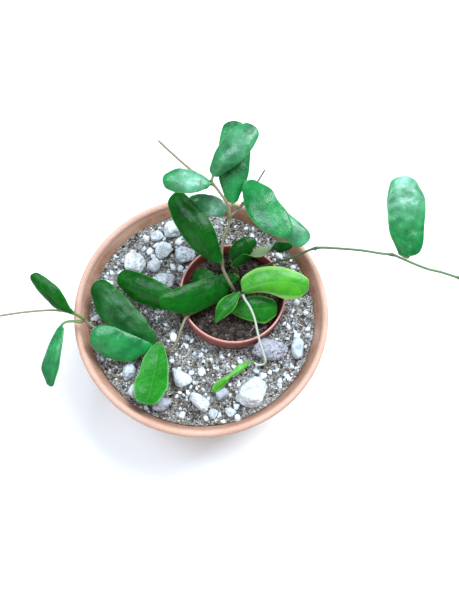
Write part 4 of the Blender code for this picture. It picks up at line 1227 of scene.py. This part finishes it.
class HOYA_OT_leaves(bpy.types.Operator):
    """Grow the leaves, each drawn out of a ball along its own rib"""
    bl_idname = "hoya.leaves"
    bl_label = "Leaves"
    rings = 84
    stalk_rings = 14
    segments = 64
    bluntness = 11.0
    stalk_radius = 0.75

    def execute(self, context):
        settings = context.scene.hoya
        ages = {
            "old": leaf_cuticle("hoya_leaf_old", tuple(settings.old_leaf_colour),
                                linear("#0B5A10"), linear("#2A7A26"), 0.9, 0.24, 0.16),
            "mature": leaf_cuticle("hoya_leaf_grown", tuple(settings.leaf_colour),
                                   linear("#1C8440"), linear("#4C9C4C"), 0.93, 0.25, 0.36),
            "fresh": leaf_cuticle("hoya_leaf_fresh", linear("#0A5410"),
                                  linear("#1A7A1A"), linear("#8CC858"), 0.82, 0.3, 0.22),
            "bright": leaf_cuticle("hoya_leaf_bright", linear("#10660F"),
                                   linear("#1E7F14"), linear("#6DB565"), 0.9, 0.24, 0.22),
            "lime": leaf_cuticle("hoya_leaf_young", tuple(settings.lime_leaf_colour),
                                 linear("#479E1C"), linear("#A4D678"), 0.72, 0.36, 0.4),
        }
        for name, leaf in LEAVES.items():
            piece = self.make_leaf(name, leaf, settings)
            finish_piece(piece, ages[leaf["age"]], [name])
        return {"FINISHED"}

    def rib(self, leaf):
        """The middle line from stalk to tip, with each point's share along the blade."""
        stalk, base, tip = (Vector(leaf[key]) for key in ("stalk", "base", "tip"))
        chord = tip - base
        up = Vector(leaf["facing"][1]).normalized()
        left = up.cross(chord).normalized()
        rise = chord.cross(left).normalized()
        bend = rise * leaf["arch"] + left * leaf["sway"]
        start_way = (chord + bend * 4.0).normalized()
        reach = (base - stalk).length
        corner = base - start_way * (0.4 * reach)
        stalk += (stalk - corner).normalized() * 0.9
        line = []
        for index in range(self.stalk_rings):
            t = index / self.stalk_rings
            point = stalk * (1 - t) ** 2 + corner * (2 * t * (1 - t)) + base * t ** 2
            line.append((point, t - 1.0))
        blade = self.rings - self.stalk_rings
        for index in range(blade + 1):
            t = 0.5 - 0.5 * math.cos(math.pi * index / blade)
            line.append((base + chord * t + bend * (4.0 * t * (1.0 - t)), t))
        return line

    def facing(self, leaf, t):
        start, middle, end = (Vector(way).normalized() for way in leaf["facing"])
        if t < 0.5:
            return start.lerp(middle, smoothstep(0.0, 0.5, t))
        return middle.lerp(end, smoothstep(0.5, 1.0, t))

    def half_width(self, widths, t):
        """A smooth curve through five half widths, closed by a blunt round end."""
        place = min(max((t - 0.08) / 0.21, 0.0), 4.0)
        index = min(int(place), 3)
        share = place - index
        before, start = widths[max(index - 1, 0)], widths[index]
        end, after = widths[index + 1], widths[min(index + 2, 4)]
        bend = (2.0 * before - 5.0 * start + 4.0 * end - after) * share ** 2
        turn = (3.0 * start - before - 3.0 * end + after) * share ** 3
        width = 0.5 * (2.0 * start + (end - before) * share + bend + turn)
        return width * math.sqrt(max(0.0, 1.0 - abs(2.0 * t - 1.0) ** self.bluntness))

    def make_leaf(self, name, leaf, settings):
        bpy.ops.object.select_all(action="DESELECT")
        bpy.ops.mesh.primitive_uv_sphere_add(segments=self.segments,
                                             ring_count=self.rings, radius=1.0)
        piece = bpy.context.view_layer.objects.active
        piece.name = name.replace("leaf", "blade")
        line = self.rib(leaf)
        thickness = 0.5 * settings.leaf_thickness / MM
        relief = settings.leaf_relief / MM * leaf["quilt"]
        seed = random.Random(name).uniform(0.0, 60.0)
        frames = []
        # From tip to stalk, so that the stalk carries on the turn of the blade's first ring.
        for index in reversed(range(len(line))):
            centre, t = line[index]
            ahead = line[min(index + 1, self.rings)][0]
            behind = line[max(index - 1, 0)][0]
            way = (ahead - behind).normalized()
            if t >= 0.0:
                across = self.facing(leaf, t).cross(way).normalized()
                halves = [self.half_width(leaf[key], t) for key in ("left", "right")]
            else:
                across = (across - way * across.dot(way)).normalized()
                halves = (0.0, 0.0)
            frames.insert(0, (centre, t, across, way.cross(across), halves))
        sides, alongs, unders, painted_sheens = [], [], [], []
        # The painted sheen: a pale patch painted on the blade where a highlight falls.
        most, middle, reach = PAINTED_SHEEN.get(name, (0.0, 0.5, 1.0))
        for vert in piece.data.vertices:
            index = round(math.acos(max(-1.0, min(1.0, vert.co.z))) / math.pi * self.rings)
            angle = math.atan2(vert.co.y, vert.co.x)
            pole = index in (0, self.rings)
            side = 0.0 if pole else math.cos(angle)
            lift = 0.0 if pole else math.sin(angle)
            point = self.leaf_point(leaf, frames[index], side, lift, thickness, relief, seed)
            vert.co = point * MM
            sides.append(side)
            alongs.append(frames[index][1])
            unders.append(smoothstep(0.1, -0.1, lift) if frames[index][1] > 0.0 else 0.0)
            spread = ((frames[index][1] - middle) / reach) ** 2 + 0.9 * side * side
            painted_sheens.append(most * math.exp(-spread))
        set_attribute(piece, "across", sides)
        set_attribute(piece, "along", alongs)
        set_attribute(piece, "under", unders)
        set_attribute(piece, "painted_sheen", painted_sheens)
        make_active(piece)
        bpy.ops.object.mode_set(mode="EDIT")
        bpy.ops.mesh.select_all(action="SELECT")
        bpy.ops.mesh.normals_make_consistent(inside=False)
        bpy.ops.object.mode_set(mode="OBJECT")
        return piece

    def leaf_point(self, leaf, frame, side, lift, thickness, relief, seed):
        """One point of the leaf's skin: side runs from margin to margin, lift from the
        underside to the top."""
        centre, t, across, normal, halves = frame
        stalk = self.stalk_radius * (1.0 + 0.35 * math.exp(-((t + 1.0) / 0.2) ** 2))
        if t <= 0.0:
            return centre + (across * side + normal * lift) * stalk
        half = halves[0] if side > 0.0 else halves[1]
        widest = max(leaf["left"] + leaf["right"])
        wide = min(1.0, 0.5 * sum(halves) / widest * 1.25)
        # The margin is never a perfect curve: it wanders by a few tenths of a millimetre.
        edge = Vector((t * 5.0, math.copysign(2.0, side), seed))
        half *= 1.0 + 0.06 * noise.noise(edge)
        half = max(half, stalk * (1.0 - smoothstep(0.0, 0.05, t)), 0.02)
        flesh = thickness * wide ** 0.6
        flesh = max(flesh, stalk * (1.0 - smoothstep(0.0, 0.07, t)))
        body = math.copysign(abs(lift) ** 0.8, lift) * flesh
        fold = leaf["turn"] * wide * abs(side) ** 2.2
        wave = 1.1 * noise.noise(Vector((t * 2.4, side * 0.7, seed + 9.0)))
        wave *= wide * smoothstep(0.0, 0.25, t)
        height = body - fold + wave
        rib = math.exp(-((side / 0.09) ** 2)) * (1.0 - 0.7 * t) * wide
        if lift > 0.0:
            # Flesh swells between the veins and sinks a little along the middle one.
            spot = Vector((side * half * 0.2, t * 9.0, seed))
            quilt = noise.noise(spot) + 0.35 * noise.noise(spot * 2.3)
            height += 1.7 * relief * quilt * wide * smoothstep(0.0, 0.4, lift) - 0.16 * rib
        else:
            height -= 0.35 * rib
        return centre + across * (side * half) + normal * height


class HOYA_OT_stage(bpy.types.Operator):
    """Lay the floor, hang the soft lights and place the camera"""
    bl_idname = "hoya.stage"
    bl_label = "Floor, lights and camera"

    def execute(self, context):
        self.make_floor()
        self.make_world(context.scene)
        # A tall window behind on the right, a small ceiling light and a weak front fill.
        self.make_light("window", (0.42, 0.5, 1.08), (0.6, 0.8), 23.0, "#EAF3FF")
        self.make_light("ceiling", (-0.38, -0.05, 1.25), (0.5, 0.5), 11.0, "#DDEBFF")
        self.make_light("fill", (-0.5, -0.9, 0.7), (0.9, 0.6), 3.0, "#FFFAF4")
        self.make_camera(context.scene)
        context.scene.view_settings.view_transform = "Standard"
        return {"FINISHED"}

    def make_floor(self):
        bpy.ops.object.select_all(action="DESELECT")
        bpy.ops.mesh.primitive_plane_add(size=8.0, location=(0.0, 0.0, -0.0002))
        floor = bpy.context.view_layer.objects.active
        floor.name = "floor"
        material, _, shader, _ = new_material("painted_board_white", 0.7, 1.45)
        shader.inputs["Base Color"].default_value = linear("#F4F4F2")
        floor.data.materials.append(material)

    def make_world(self, scene):
        world = bpy.data.worlds.new("soft_room")
        world.use_nodes = True
        background = world.node_tree.nodes["Background"]
        background.inputs["Color"].default_value = linear("#EEF3F7")
        background.inputs["Strength"].default_value = 0.4
        scene.world = world

    def make_light(self, name, place, size, power, colour):
        data = bpy.data.lights.new(name, "AREA")
        data.shape = "RECTANGLE"
        data.size, data.size_y = size
        data.energy = power
        data.color = linear(colour)[:3]
        light = bpy.data.objects.new(name, data)
        light.location = place
        aim = Vector((0.01, 0.02, 0.09)) - Vector(place)
        light.rotation_euler = aim.to_track_quat("-Z", "Y").to_euler()
        bpy.context.scene.collection.objects.link(light)

    def make_camera(self, scene):
        """A hand-held view from above and in front, turned a little in the hand."""
        data = bpy.data.cameras.new("camera")
        data.sensor_width = SENSOR_WIDTH
        data.lens = FOCAL_LENGTH
        data.clip_start = 0.01
        camera = bpy.data.objects.new("camera", data)
        high, roll = math.radians(VIEW_ELEVATION), math.radians(VIEW_ROLL)
        back = Vector((0.0, -math.cos(high), math.sin(high)))
        target = Vector((*VIEW_TARGET, BOWL_HEIGHT * MM))
        right = UP.cross(back).normalized()
        above = back.cross(right)
        turned_right = right * math.cos(roll) + above * math.sin(roll)
        turned_above = above * math.cos(roll) - right * math.sin(roll)
        axes = Matrix((turned_right, turned_above, back)).transposed().to_4x4()
        camera.matrix_world = Matrix.Translation(target + back * VIEW_DISTANCE) @ axes
        scene.collection.objects.link(camera)
        scene.camera = camera


class HOYA_PT_panel(bpy.types.Panel):
    """Lists the plant's pieces in the order in which they are made"""
    bl_idname = "HOYA_PT_panel"
    bl_label = "Potted hoya"
    bl_space_type = "VIEW_3D"
    bl_region_type = "UI"
    bl_category = "Hoya"

    def draw(self, context):
        for name in HoyaSettings.__annotations__:
            self.layout.prop(context.scene.hoya, name)
        for operator in OPERATORS:
            self.layout.operator(operator.bl_idname)


OPERATORS = (HOYA_OT_bowl, HOYA_OT_mix, HOYA_OT_stones, HOYA_OT_pot, HOYA_OT_peat,
             HOYA_OT_vines, HOYA_OT_leaves, HOYA_OT_stage)
CLASSES = (HoyaSettings, *OPERATORS, HOYA_PT_panel)


def register():
    for made in CLASSES:
        bpy.utils.register_class(made)
    bpy.types.Scene.hoya = bpy.props.PointerProperty(type=HoyaSettings)


def unregister():
    del bpy.types.Scene.hoya
    for made in reversed(CLASSES):
        bpy.utils.unregister_class(made)


def main():
    register()
    bpy.ops.hoya.bowl()
    bpy.ops.hoya.mix()
    bpy.ops.hoya.stones()
    bpy.ops.hoya.pot()
    bpy.ops.hoya.peat()
    bpy.ops.hoya.vines()
    bpy.ops.hoya.leaves()
    bpy.ops.hoya.stage()
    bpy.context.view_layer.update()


if __name__ == "__main__":
    main()
